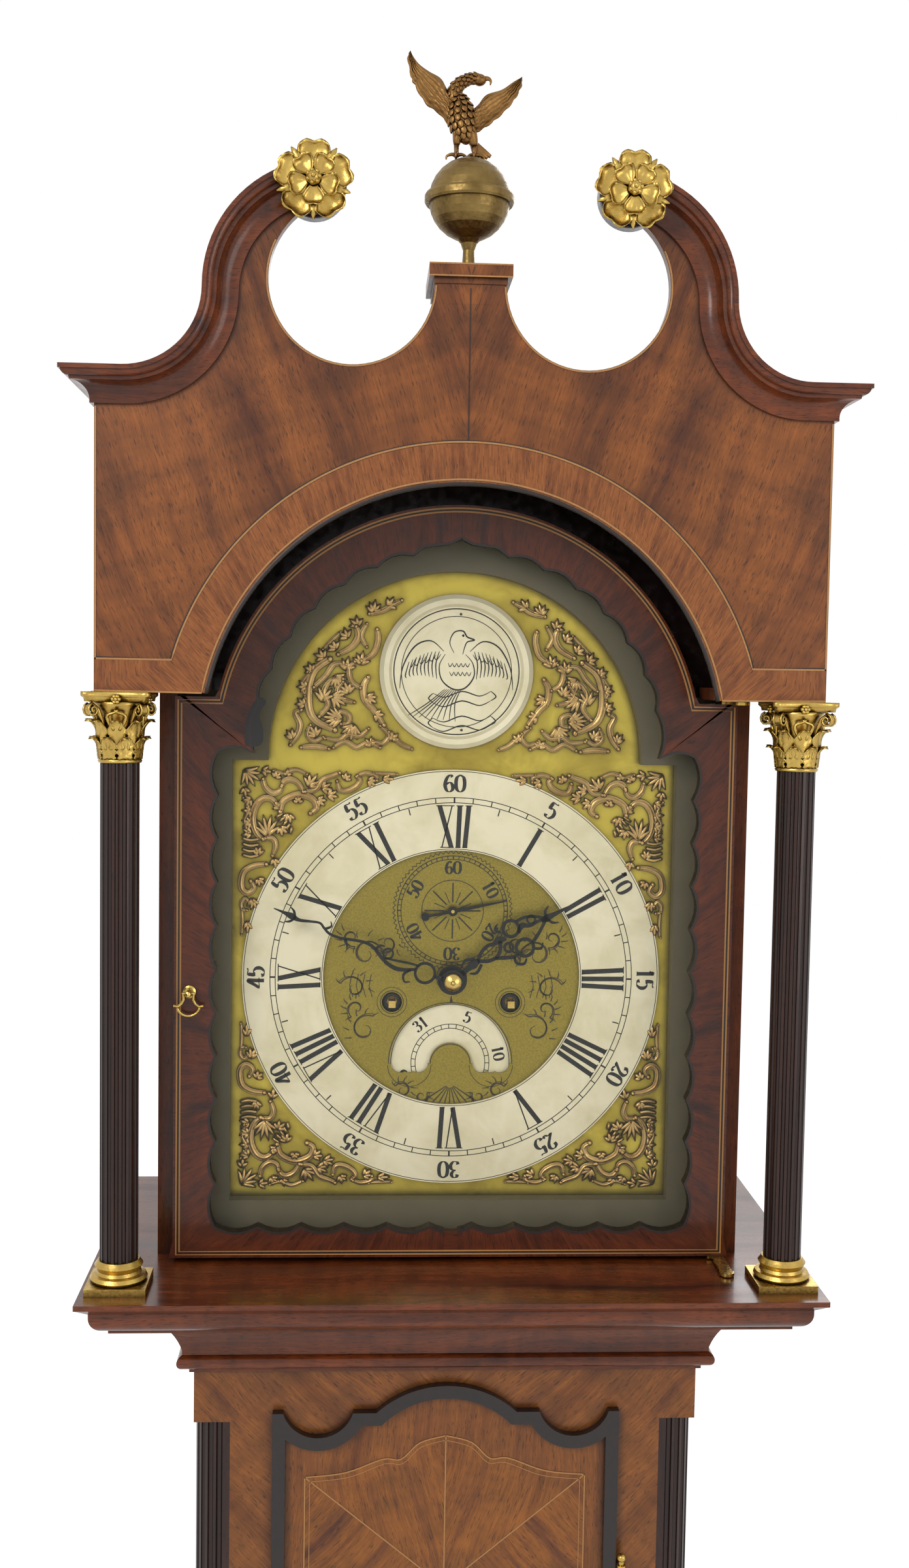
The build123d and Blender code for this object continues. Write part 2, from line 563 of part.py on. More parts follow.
def finial_pieces():
    top = plinth_top_z
    low = ball_z - ball_r
    parts["finial_ball"] = group(lathe_z(0, finial_y, [
        (0, top), (9.5, top), (9.5, top + 1.6), (6.5, top + 3), (4.2, top + 6), (3.6, low - 6), (5.2, low - 1.5),
        (7.5, low + 1.0)] + [(ball_r * cos(radians(a)), ball_z + ball_r * sin(radians(a)))
                             for a in (-68, -55, -42, -30, -20, -10, -7)]
        + [(ball_band_r - 0.8, ball_z - 3.2), (ball_band_r, ball_z - 1.8), (ball_band_r, ball_z + 1.8),
           (ball_band_r - 0.8, ball_z + 3.2)]
        + [(ball_r * cos(radians(a)), ball_z + ball_r * sin(radians(a))) for a in (7, 10, 20, 32, 45, 58, 72)]
        + [(0, ball_z + ball_r)]))
    foot = ball_z + ball_r
    # Heights and reaches over the ball are read off the photo's outline of the bird
    body = Pos(-6, finial_y, foot + 25) * Rot(0, -14, 0) * scale(Sphere(1), by=(9, 8, 15))
    body += Pos(-4.5, finial_y - 1, foot + 41) * Rot(0, 42, 0) * scale(Sphere(1), by=(4.4, 4.4, 10))
    body += Pos(4.5, finial_y - 1.5, foot + 48.3) * Rot(0, 8, 0) * scale(Sphere(1), by=(7.4, 3.8, 3.9))
    body += rod_z(-8.2, finial_y - 1, 1.8, foot - 1.5, foot + 14)
    body += Pos(-8.6, finial_y - 2.5, foot - 0.2) * scale(Sphere(1), by=(6.2, 5.5, 2.4))
    tail = Polygon((-5, 16), (5.2, 17), (7, 10), (10, 5.5), (13.2, 2.2), (12.6, -1), (0, -1), (-1.2, 6), align=None)
    body += slab(Pos(0, foot) * tail, finial_y - 1, finial_y + 5)
    left = Polygon((-15, 38.5), (-16.6, 43.5), (-20.6, 49.6), (-29, 53.6), (-34, 57.4), (-37, 61.4), (-39, 65.2),
                   (-40.2, 61.2), (-38.2, 50), (-35.6, 44.4), (-28.6, 33.6), (-19.6, 27), (-15, 20), (-6, 26),
                   align=None)
    right = Polygon((3.6, 30), (5, 34), (9.8, 40), (19.6, 43.6), (28.6, 49.2), (32.3, 51.5), (31.6, 46.2),
                    (26.2, 36), (16.4, 25.6), (5.2, 17.2), (-4, 20), align=None)
    body += slab(Pos(0, foot) * left, finial_y - 1.5, finial_y + 2.5)
    body += slab(Pos(0, foot) * right, finial_y - 1.5, finial_y + 2.5)
    body -= Pos(0, finial_y, ball_z) * Sphere(ball_r)
    parts["eagle_finial"] = group(body)


def scalloped_sight():
    """The hood door's opening: cusped arcs along the stiles, the rails and the arch."""
    half, bottom, top = dial_width / 2 + 7.5, dial_low_z - 10.0, dial_shoulder_z + 7.0
    depth = 4.2
    ring_r, ring_z = door_arch_r - 26.5, dial_shoulder_z + 5.0
    corner_x = ring_r - 3.5
    points = []
    lobes = 11
    for n in range(lobes + 1):
        points.append((-half + 2 * half * n / lobes, bottom))
    for n in range(1, lobes + 1):
        points.append((half, bottom + (top - bottom) * n / lobes))
    points.append((corner_x + 2, top - 1))
    steps = 6
    for n in range(steps + 1):
        a = radians(14 + n * (76.6 - 14) / steps)
        points.append((ring_r * cos(a), ring_z + ring_r * sin(a)))
    edges = []
    right = [p for p in points if p[0] >= -1e-6 or p[1] == bottom]
    for p, q in zip(right, right[1:]):
        mx, mz = (p[0] + q[0]) / 2, (p[1] + q[1]) / 2
        dx, dz = q[0] - p[0], q[1] - p[1]
        long = hypot(dx, dz)
        out = depth * min(1.0, long / 28.0)
        edges.append(ThreePointArc(p, (mx + out * dz / long, mz - out * dx / long), q))
    last = right[-1]
    peak = (0.0, ring_z + ring_r + 8.0)
    mid = ((last[0] + peak[0]) / 2, (last[1] + peak[1]) / 2 + 1.0)
    edges.append(ThreePointArc(last, ((last[0] + mid[0]) / 2 + 0.6, (last[1] + mid[1]) / 2 + 2.2), mid))
    edges.append(ThreePointArc(mid, (mid[0] / 2 - 0.4, (mid[1] + peak[1]) / 2 - 1.4), peak))
    left_mid = (-mid[0], mid[1])
    left_last = (-last[0], last[1])
    edges.append(ThreePointArc(peak, (-mid[0] / 2 + 0.4, (mid[1] + peak[1]) / 2 - 1.4), left_mid))
    edges.append(ThreePointArc(left_mid, (-(last[0] + mid[0]) / 2 - 0.6, (last[1] + mid[1]) / 2 + 2.2), left_last))
    back = [(-x, z) for x, z in reversed([p for p in points if p[1] > bottom])]
    back.append((-half, bottom))
    for p, q in zip(back, back[1:]):
        mx, mz = (p[0] + q[0]) / 2, (p[1] + q[1]) / 2
        dx, dz = q[0] - p[0], q[1] - p[1]
        long = hypot(dx, dz)
        out = depth * min(1.0, long / 28.0)
        edges.append(ThreePointArc(p, (mx + out * dz / long, mz - out * dx / long), q))
    return make_face(edges)


def hood_door_pieces():
    outline = rectangle(-door_half, door_half, door_bottom_z, door_top_z) + (
        disc(0, door_arch_z, door_arch_r) & rectangle(-door_half, door_half, door_arch_z, door_arch_z + door_arch_r))
    sight = scalloped_sight()
    glass_w = 8.0
    pane = rectangle(-door_arch_r - glass_w, door_arch_r + glass_w, dial_low_z - 23, dial_shoulder_z + 20)
    pane_arch = rectangle(-200, 200, dial_shoulder_z + 10, dial_shoulder_z + 200)
    pane += disc(0, dial_shoulder_z + 5, door_arch_r - 12) & pane_arch
    glass_y = door_y + 8.0
    frame = slab(outline - sight, door_y, door_y + door_t)
    frame -= slab(pane, glass_y, door_y + door_t + 1)
    parts["hood_door_frame"] = group(frame)
    parts["hood_door_glass"] = group(slab(pane, glass_y, glass_y + 2.2))
    # Brass pivot arms carry the door on pins set well in front of its face
    pivots = []
    plate_t2 = 2.0
    for z0, way in ((door_bottom_z - plate_t2, -1), (door_top_z, 1)):
        arm = box(door_pivot_x - 7, door_half, door_y, door_y + door_t, z0, z0 + plate_t2)
        arm += box(door_pivot_x - 4, door_pivot_x + 4, door_pivot_y, door_y, z0, z0 + plate_t2)
        arm += rod_z(door_pivot_x, door_pivot_y, 5.0, z0, z0 + plate_t2)
        pin0, pin1 = (z0 - 10, z0) if way < 0 else (z0 + plate_t2, z0 + plate_t2 + 8)
        arm += rod_z(door_pivot_x, door_pivot_y, 2.5, pin0, pin1)
        pivots.append(arm)
    parts["hood_door_brasses"] = group(pivots, door_knob())


bail_x = 10.5 - door_half
bail_z = centre_z - 3.2
bail_y = door_y - 6.0
bail_wire = 0.8


def door_knob():
    """The turned knob that the bail hangs from."""
    knob = lathe_y(bail_x, bail_z, [(0, door_y), (4.3, door_y), (4.3, door_y - 1.0), (3.0, door_y - 1.6),
                                    (1.9, door_y - 2.8), (2.0, door_y - 7.6), (2.2, door_y - 8.6),
                                    (1.7, door_y - 10.0), (0, door_y - 10.6)])
    return knob - rod_x(bail_y, bail_z, bail_wire + run_gap, bail_x - 6, bail_x + 6)


def bail_piece():
    """A cross pin, two flared arms and a hanging bow."""
    wire = bail_wire
    pivot_y = bail_y
    bail = rod_x(pivot_y, bail_z, wire, bail_x - 4.3, bail_x + 4.3)
    for side_sign in (1, -1):
        spots = [(3.4, 0.0), (3.2, -4.4), (4.6, -7.0), (6.9, -8.9), (9.3, -8.5)]
        for (x0, z0), (x1, z1) in zip(spots, spots[1:]):
            a = Vector(bail_x + side_sign * x0, pivot_y, bail_z + z0)
            b = Vector(bail_x + side_sign * x1, pivot_y, bail_z + z1)
            bail += Solid.make_cylinder(wire, (b - a).length, Plane(origin=a, z_dir=(b - a)))
            bail += Pos(b) * Sphere(wire)
    bow_r = 7.7
    steps = 10
    spots = []
    for n in range(steps + 1):
        a = radians(200 + 140 * n / steps)
        spots.append(Vector(bail_x + bow_r * cos(a), pivot_y, bail_z - 7.5 + bow_r * sin(a)))
    for a, b in zip(spots, spots[1:]):
        bail += Solid.make_cylinder(wire, (b - a).length, Plane(origin=a, z_dir=(b - a)))
        bail += Pos(b) * Sphere(wire)
    parts["hood_door_bail"] = group(bail)


# Dial
def dial_pieces():
    half = dial_width / 2 + dial_overlap
    outline = rectangle(-half, half, dial_shoulder_z - dial_width - dial_overlap, dial_shoulder_z + dial_overlap)
    outline += disc(0, arch_z, arch_r + dial_overlap)
    slot = disc(0, date_z, 42.5) - disc(0, date_z, 14.7)
    slot &= rectangle(-60, 60, date_z, date_z + 60)
    for x in (-28.6, 28.6):
        slot += disc(x, date_z, 6.5) + disc(x + 6.5, date_z, 6.5) + disc(x - 6.5, date_z, 6.5)
    holes = disc(0, centre_z, 7.5) + disc(0, seconds_z, 2.6)
    for x in (-barrel_x, barrel_x):
        holes += disc(x, barrel_z, winding_square)
    dial = slab(outline - slot - holes, dial_y, dial_y + dial_t)
    parts["dial_plate"] = group(dial)
    ring = disc(0, centre_z, ring_out_r) - disc(0, centre_z, ring_in_r)
    parts["chapter_ring"] = group(slab(ring, dial_y - 1.8, dial_y))
    boss_z = dial_shoulder_z + 62.0
    parts["arch_boss"] = group(lathe_y(0, boss_z, [
        (0, dial_y), (53, dial_y), (53, dial_y - 2.2), (50, dial_y - 4.2), (46.5, dial_y - 3.6), (44.5, dial_y - 1.6),
        (0, dial_y - 2.6)]))
    spandrels = []
    for sx in (-1, 1):
        for top in (True, False):
            cx = sx * (dial_width / 2 - 5)
            cz = dial_shoulder_z - 5 if top else dial_shoulder_z - dial_width + 5
            way = -1 if top else 1
            corner = rectangle(min(0, -sx * 108), max(0, -sx * 108), min(0, way * 118), max(0, way * 118))
            flat = Pos(cx, cz) * corner - disc(0, centre_z, ring_out_r + 1)
            for hx, hz, hr in ((20, 37, 7), (22.4, 10, 5), (42, 29, 6), (60, 14, 4.5), (17, 58, 5), (7, 80, 3.5),
                               (75, 9, 4)):
                flat -= disc(cx - sx * hx, cz + way * hz, hr)
            spandrels.append(slab(flat, dial_y - 2.6, dial_y))
        arch_piece = disc(0, arch_z, arch_r - 6) - disc(0, boss_z, 55)
        arch_piece &= rectangle(min(sx * 27, sx * (arch_r - 6)), max(sx * 27, sx * (arch_r - 6)),
                                dial_shoulder_z + 5, dial_shoulder_z + 113)
        for hx, hz, hr in ((98, 24, 7), (80, 16, 6), (92, 48, 7), (78, 70, 6), (62, 88, 4.5), (55, 9.5, 2.5)):
            arch_piece -= disc(sx * hx, dial_shoulder_z + hz, hr)
        spandrels.append(slab(arch_piece, dial_y - 2.6, dial_y))
    parts["dial_spandrels"] = group(spandrels)
    date_y = dial_y + dial_t + 1.2
    parts["date_disc"] = group(slab(disc(0, date_z, 46.5) - disc(0, date_z, 2.0 + run_gap), date_y, date_y + 1.0))


# Movement plates and fixed parts
def movement_frame():
    plate = rectangle(-plate_half, plate_half, plate_bottom_z, plate_top_z)
    holes = [(0, centre_z, arbor_r), (0, seconds_z, fine_arbor_r), (third_x, third_z, fine_arbor_r),
             (barrel_x, barrel_z, arbor_r + 1), (-barrel_x, barrel_z, arbor_r + 1), (0, anchor_z, fine_arbor_r),
             (pin_wheel_x, pin_wheel_z, fine_arbor_r), (hammer_x, hammer_z, fine_arbor_r)]
    front, back = plate, plate
    for x, z, r in holes:
        front -= disc(x, z, r + run_gap)
        back -= disc(x, z, r + run_gap)
    parts["movement_front_plate"] = group(slab(front, front_plate_y, front_plate_y + plate_t))
    parts["movement_back_plate"] = group(slab(back, back_plate_y, back_plate_y + plate_t))
    pillars = []
    for x in (-plate_half + 9, plate_half - 9):
        for z in (plate_bottom_z + 10, plate_top_z - 10):
            y0, y1 = front_plate_y + plate_t, back_plate_y
            mid = (y0 + y1) / 2
            pillars.append(lathe_y(x, z, [(0, y0), (5, y0), (5, y0 + 3), (3.2, y0 + 5), (3.2, mid - 4), (5.2, mid),
                                          (3.2, mid + 4), (3.2, y1 - 5), (5, y1 - 3), (5, y1), (0, y1)]))
    for x in (-55, 55):
        for z in (seconds_z + 12, centre_z - 66):
            pillars.append(rod_y(x, z, 3.0, dial_y + dial_t, front_plate_y))
    stud_z = centre_z - minute_wheel_drop
    pillars.append(rod_y(0, stud_z, stud_r, dial_y + dial_t + 5.5, front_plate_y))
    pillars.append(rod_y(0, date_z, 2.0, dial_y + dial_t, dial_y + dial_t + 4.0))
    parts["movement_pillars"] = group(pillars)
    # Bell on its stand: the stand is fixed to the back plate and its nut holds the bell's crown
    bell_z = plate_top_z + 42
    crown = sin(radians(80))
    crown_in, crown_out = bell_z + 24.4 * crown, bell_z + 27 * crown
    profile_out = [(bell_r * cos(radians(a)), bell_z + 27 * sin(radians(a))) for a in range(0, 81, 10)]
    profile_in = [((bell_r - 2.6) * cos(radians(a)), bell_z + 24.4 * sin(radians(a))) for a in range(80, -1, -10)]
    bell = lathe_z(0, weight_y, profile_out + [(2, crown_out), (2, crown_in)] + profile_in)
    stand = rod_z(0, weight_y, 3.0, bell_z - 8, crown_in)
    stand += rod_z(0, weight_y, 1.8, crown_in, crown_out + 6)
    stand += rod_z(0, weight_y, 4.0, crown_out, crown_out + 3)
    stand += rod_y(0, bell_z - 5, 3.0, weight_y, back_plate_y + plate_t + 6)
    stand += box(-6, 6, back_plate_y + plate_t, back_plate_y + plate_t + 6, plate_top_z - 12, bell_z - 2)
    parts["bell"] = group(bell, stand)
    # Suspension cock: cheeks behind the back plate joined by a bridge that holds the spring
    y0 = back_plate_y + plate_t
    for_cock = both(box(14, 22, y0, pendulum_y + 6, anchor_z - 6, anchor_z + 16))
    cock = for_cock[0] + for_cock[1] + box(-22, 22, pendulum_y - 6, pendulum_y + 6, anchor_z + 10, anchor_z + 16)
    cock += both(box(14, 30, y0, y0 + 3, anchor_z - 6, anchor_z + 16))[0]
    cock += both(box(14, 30, y0, y0 + 3, anchor_z - 6, anchor_z + 16))[1]
    cock -= box(-7.2, 7.2, pendulum_y - 0.6, pendulum_y + 0.6, anchor_z + 2, anchor_z + 20)
    parts["suspension_cock"] = group(cock)


# Going train positions follow from tooth counts and modules
centre_reach = hypot(barrel_x, barrel_z - centre_z)
great_module = 2 * centre_reach / (great_teeth + centre_pinion_teeth)
centre_to_third = centre_module * (centre_teeth + third_pinion_teeth) / 2
third_to_escape = third_module * (third_teeth + escape_pinion_teeth) / 2
seconds_rise = seconds_z - centre_z
third_up = (centre_to_third ** 2 - third_to_escape ** 2 + seconds_rise ** 2) / (2 * seconds_rise)
third_x = sqrt(centre_to_third ** 2 - third_up ** 2)
third_z = centre_z + third_up
strike_reach = 39.6
strike_module = 2 * strike_reach / (strike_teeth + strike_pinion_teeth)
pin_wheel_x = -30.0
pin_wheel_z = barrel_z + sqrt(strike_reach ** 2 - (barrel_x + pin_wheel_x) ** 2)
hammer_x = -48.0
hammer_z = centre_z + 53.0
train_y = front_plate_y + plate_t
plates_end_y = back_plate_y + plate_t
great_y = train_y + 7.2
centre_wheel_y = back_plate_y - 4.8
third_wheel_y = train_y + 43.2
escape_wheel_y = train_y + 33.2
escape_tip_r = 17.0


def going_train():
    to_centre = heading(barrel_x, barrel_z, 0, centre_z)
    wheel = Pos(barrel_x, barrel_z) * wheel_outline(great_teeth, great_module, arbor_r + 2 + run_gap, to_centre)
    parts["going_great_wheel"] = group(slab(wheel, great_y, great_y + 2.5))
    # The centre arbor carries its wheel at the back, its pinion and the long front end for the hands
    to_third = heading(0, centre_z, third_x, third_z)
    wheel = Pos(0, centre_z) * wheel_outline(centre_teeth, centre_module, arbor_r - 0.1, to_third)
    centre = slab(wheel, centre_wheel_y, centre_wheel_y + 2)
    pinion = Pos(0, centre_z) * pinion_outline(centre_pinion_teeth, great_module, to_centre + 180)
    centre += slab(pinion, great_y - 2, great_y + 4.5)
    centre += rod_y(0, centre_z, arbor_r, front_plate_y - 20, plates_end_y)
    parts["centre_wheel"] = group(centre)
    to_escape = heading(third_x, third_z, 0, seconds_z)
    wheel = Pos(third_x, third_z) * wheel_outline(third_teeth, third_module, fine_arbor_r - 0.1, to_escape)
    third = slab(wheel, third_wheel_y, third_wheel_y + 1.8)
    pinion = Pos(third_x, third_z) * pinion_outline(third_pinion_teeth, centre_module, to_third + 180)
    third += slab(pinion, centre_wheel_y - 2, centre_wheel_y + 3.6)
    third += rod_y(third_x, third_z, fine_arbor_r, front_plate_y, plates_end_y)
    parts["third_wheel"] = group(third)
    rim = Circle(escape_tip_r - 4) - Circle(escape_tip_r - 6.2) + Circle(4.5)
    for n in range(5):
        rim += Rot(0, 0, 72 * n) * Pos((escape_tip_r - 1) / 2, 0) * Rectangle(escape_tip_r - 7, 1.6)
    for n in range(escape_teeth):
        step = 360 / escape_teeth
        tooth = Polygon((escape_tip_r - 4.3, -1.1), (escape_tip_r, 0.5), (escape_tip_r, 0.75),
                        (escape_tip_r - 4.3, 0.9), align=None)
        rim += Rot(0, 0, step * n) * tooth
    wheel = Pos(0, seconds_z) * (rim - Circle(fine_arbor_r - 0.1))
    escape = slab(wheel, escape_wheel_y, escape_wheel_y + 1.6)
    pinion = Pos(0, seconds_z) * pinion_outline(escape_pinion_teeth, third_module, to_escape + 180)
    escape += slab(pinion, third_wheel_y - 2, third_wheel_y + 3.8)
    escape += rod_y(0, seconds_z, fine_arbor_r, dial_y - 4.5, plates_end_y)
    parts["escape_wheel"] = group(escape)
    # Anchor with pallets that just clear the wheel, its arbor and the crutch behind the back plate
    legs = Polygon((-20, -16.5), (-17.6, -19.5), (-12.5, -10), (-3, -3.2), (3, -3.2), (12.5, -10), (17.6, -19.5),
                   (20, -16.5), (15, -5), (5, 3.2), (-5, 3.2), (-15, -5), align=None)
    clear = Pos(0, seconds_z - anchor_z) * Circle(escape_tip_r + 1.5)
    anchor = slab(Pos(0, anchor_z) * (legs - clear), escape_wheel_y - 0.5, escape_wheel_y + 2.1)
    crutch_y = plates_end_y + 3.0
    anchor += rod_y(0, anchor_z, fine_arbor_r, front_plate_y, crutch_y + 2)
    anchor += rod_y(0, anchor_z, 4.0, crutch_y, crutch_y + 2)
    anchor += box(-2.2, 2.2, crutch_y, crutch_y + 2, anchor_z - 120, anchor_z)
    fork = box(-6, 6, crutch_y, pendulum_y + 6, anchor_z - 124, anchor_z - 118)
    fork -= box(-2.6, 2.6, pendulum_y - 4, pendulum_y + 7, anchor_z - 126, anchor_z - 116)
    parts["anchor_and_crutch"] = group(anchor + fork)


def strike_train():
    to_pin = heading(-barrel_x, barrel_z, pin_wheel_x, pin_wheel_z)
    y = back_plate_y - 9.8
    wheel = Pos(-barrel_x, barrel_z) * wheel_outline(strike_teeth, strike_module, arbor_r + 2 + run_gap, to_pin)
    parts["strike_great_wheel"] = group(slab(wheel, y, y + 2.5))
    pin_y = train_y + 2.7
    wheel = Pos(pin_wheel_x, pin_wheel_z) * wheel_outline(64, 0.75, fine_arbor_r - 0.1, 0)
    pin_wheel = slab(wheel, pin_y, pin_y + 2)
    pinion = Pos(pin_wheel_x, pin_wheel_z) * pinion_outline(strike_pinion_teeth, strike_module, to_pin + 180)
    pin_wheel += slab(pinion, y - 2, y + 4.5)
    pin_wheel += rod_y(pin_wheel_x, pin_wheel_z, fine_arbor_r, front_plate_y, plates_end_y)
    for n in range(8):
        a = radians(45 * n)
        pin_wheel += rod_y(pin_wheel_x + 20 * cos(a), pin_wheel_z + 20 * sin(a), 0.9, pin_y, pin_y + 3.6)
    parts["strike_pin_wheel"] = group(pin_wheel)
    bell_edge = plate_top_z + 46
    hammer = rod_y(hammer_x, hammer_z, fine_arbor_r, front_plate_y, plates_end_y)
    hammer += rod_y(hammer_x, hammer_z, 3.5, weight_y - 3, weight_y + 3)
    hammer += box(hammer_x - 1.4, hammer_x + 1.4, weight_y - 1.5, weight_y + 1.5, hammer_z, bell_edge)
    hammer += rod_x(weight_y, bell_edge, 5.0, hammer_x - 9, -bell_r - 1.2)
    parts["hammer"] = group(hammer)


def motion_work():
    gap_y = dial_y + dial_t
    cannon_module = 2 * minute_wheel_drop / (2 * cannon_teeth)
    hour_module = 2 * minute_wheel_drop / (hour_teeth + minute_pinion_teeth)
    tube_in = arbor_r + run_gap
    tube_out = 3.6
    cannon_y = gap_y + 17.5
    cannon = slab(Pos(0, centre_z) * wheel_outline(cannon_teeth, cannon_module, tube_in, -90), cannon_y,
                  cannon_y + 2)
    cannon += rod_y(0, centre_z, tube_out, dial_y - 19, cannon_y + 2)
    cannon -= rod_y(0, centre_z, tube_in, dial_y - 20, cannon_y + 3)
    cannon += rod_y(0, centre_z, tube_in, dial_y - 19, front_plate_y - 20 - air)
    parts["cannon_pinion"] = group(cannon)
    stud_z = centre_z - minute_wheel_drop
    stud_bore = stud_r + run_gap
    toward = 90 + 180 / cannon_teeth
    minute = slab(Pos(0, stud_z) * wheel_outline(cannon_teeth, cannon_module, stud_bore, toward), cannon_y,
                  cannon_y + 2)
    leaves = pinion_outline(minute_pinion_teeth, hour_module, 90) - Circle(stud_bore)
    hour_y = gap_y + 9.0
    minute += slab(Pos(0, stud_z) * leaves, hour_y - 1.5, cannon_y)
    parts["minute_wheel"] = group(minute)
    hour_bore = tube_out + run_gap
    hour = slab(Pos(0, centre_z) * wheel_outline(hour_teeth, hour_module, hour_bore, -90), hour_y, hour_y + 2)
    hour += rod_y(0, centre_z, 5.6, dial_y - 11, hour_y + 2) - rod_y(0, centre_z, hour_bore, dial_y - 12, hour_y + 3)
    parts["hour_wheel"] = group(hour)


def hand_shape(points, hub_r, bore, holes=()):
    half = [(w, d) for d, w in points]
    other = [(-w, d) for d, w in reversed(points)]
    shape = Polygon(*(half + other), align=None) + Circle(hub_r)
    for d, w, r in holes:
        shape -= Pos(w, d) * Circle(r)
    return shape - Circle(bore)


def hand_pieces():
    minute_y = dial_y - 17.5
    minute = hand_shape([(0, 3.5), (10, 2.2), (24, 2.6), (40, 1.6), (60, 2.6), (80, 1.6), (104, 2.0), (132, 0.6)],
                        8.5, 3.6)
    minute = Pos(0, centre_z) * Rot(0, 0, -minute_angle) * minute
    collet = lathe_y(0, centre_z, [(0, dial_y - 21.5), (3.5, dial_y - 21.2), (6.0, dial_y - 20), (6.0, dial_y - 19.0),
                                   (0, dial_y - 19.0)])
    blade = slab(minute, minute_y, minute_y + 1.4)
    washer = slab(Pos(0, centre_z) * (Circle(6) - Circle(3.6)), dial_y - 19, minute_y)
    parts["minute_hand"] = group(blade + washer + collet)
    hour_y = dial_y - 10.5
    hour = hand_shape([(0, 4.5), (14, 3.0), (26, 2.6), (34, 9.0), (48, 13.0), (60, 9.5), (66, 4.0), (74, 3.0),
                       (86, 2.4), (95, 0.7)], 9.5, 5.6,
                      [(44, 5.5, 4.2), (44, -5.5, 4.2), (56, 3.8, 2.8), (56, -3.8, 2.8)])
    hour = Pos(0, centre_z) * Rot(0, 0, -hour_angle) * hour
    parts["hour_hand"] = group(slab(hour, hour_y, hour_y + 1.4))
    second = hand_shape([(-18, 0.7), (-6, 0.9), (6, 1.1), (20, 0.9), (38, 0.4)], 3.2, fine_arbor_r)
    second += Pos(0, -19.4) * Circle(2.8)
    second = Pos(0, seconds_z) * Rot(0, 0, -second_angle) * second
    parts["seconds_hand"] = group(slab(second, dial_y - 4.3, dial_y - 3.3))


# Barrels, weights and gut lines
def winding_pieces(name, sign):
    x = sign * barrel_x
    y0 = weight_y - barrel_l / 2
    y1 = weight_y + barrel_l / 2
    barrel = lathe_y(x, barrel_z, [(0, y0), (barrel_r + 2, y0), (barrel_r + 2, y0 + 2), (barrel_r, y0 + 2),
                                   (barrel_r, y1 - 2), (barrel_r + 2, y1 - 2), (barrel_r + 2, y1), (0, y1)])
    barrel += rod_y(x, barrel_z, arbor_r + 1, dial_y + 3, plates_end_y)
    barrel += rod_y(x, barrel_z, arbor_r + 2, train_y + 0.5, back_plate_y - 0.5)
    barrel += box(x - 2.4, x + 2.4, dial_y - 8, dial_y + 3, barrel_z - 2.4, barrel_z + 2.4)
    parts[name + "_barrel"] = group(barrel)
    outer = barrel_x + barrel_r + line_r
    pulley_x = sign * (outer - pulley_r - line_r)
    pulley_z = weight_bottom_z + weight_h + 38.0
    wheel = lathe_y(pulley_x, pulley_z, [(2.05, weight_y - 4), (pulley_r + 1.6, weight_y - 4),
                                         (pulley_r + 1.6, weight_y - 3), (pulley_r, weight_y - 1.1),
                                         (pulley_r, weight_y + 1.1), (pulley_r + 1.6, weight_y + 3),
                                         (pulley_r + 1.6, weight_y + 4), (2.05, weight_y + 4)])
    stirrup = box(pulley_x - 4, pulley_x + 4, weight_y - 6, weight_y - 4.4, pulley_z - 27, pulley_z + 4)
    stirrup += box(pulley_x - 4, pulley_x + 4, weight_y + 4.4, weight_y + 6, pulley_z - 27, pulley_z + 4)
    stirrup += box(pulley_x - 4, pulley_x + 4, weight_y - 6, weight_y + 6, pulley_z - 29, pulley_z - 26)
    stirrup += rod_y(pulley_x, pulley_z, 2.0, weight_y - 6.5, weight_y + 6.5)
    top = weight_bottom_z + weight_h
    stirrup += rod_z(pulley_x, weight_y, 2.5, top, pulley_z - 28)
    body = lathe_z(pulley_x, weight_y, [(0, top), (6, top), (weight_r - 3, top - 3), (weight_r, top - 6),
                                        (weight_r, weight_bottom_z + 5), (weight_r - 4, weight_bottom_z),
                                        (0, weight_bottom_z)])
    parts[name + "_weight"] = group(body + stirrup, wheel)
    # The line drops from the barrel, turns under the pulley and rises to the seatboard
    bend = pulley_r + line_r
    a = pulley_x + sign * bend
    b = pulley_x - sign * bend
    seat_z = plate_bottom_z - seat_t
    fall = Line((a, weight_y, barrel_z), (a, weight_y, pulley_z))
    turn = ThreePointArc((a, weight_y, pulley_z), (pulley_x, weight_y, pulley_z - bend), (b, weight_y, pulley_z))
    rise = Line((b, weight_y, pulley_z), (b, weight_y, seat_z))
    start = Plane(origin=(a, weight_y, barrel_z), z_dir=(0, 0, -1))
    line = sweep(start * Circle(line_r), path=Wire(list(fall.edges()) + list(turn.edges()) + list(rise.edges())))
    parts[name + "_line"] = group(line)


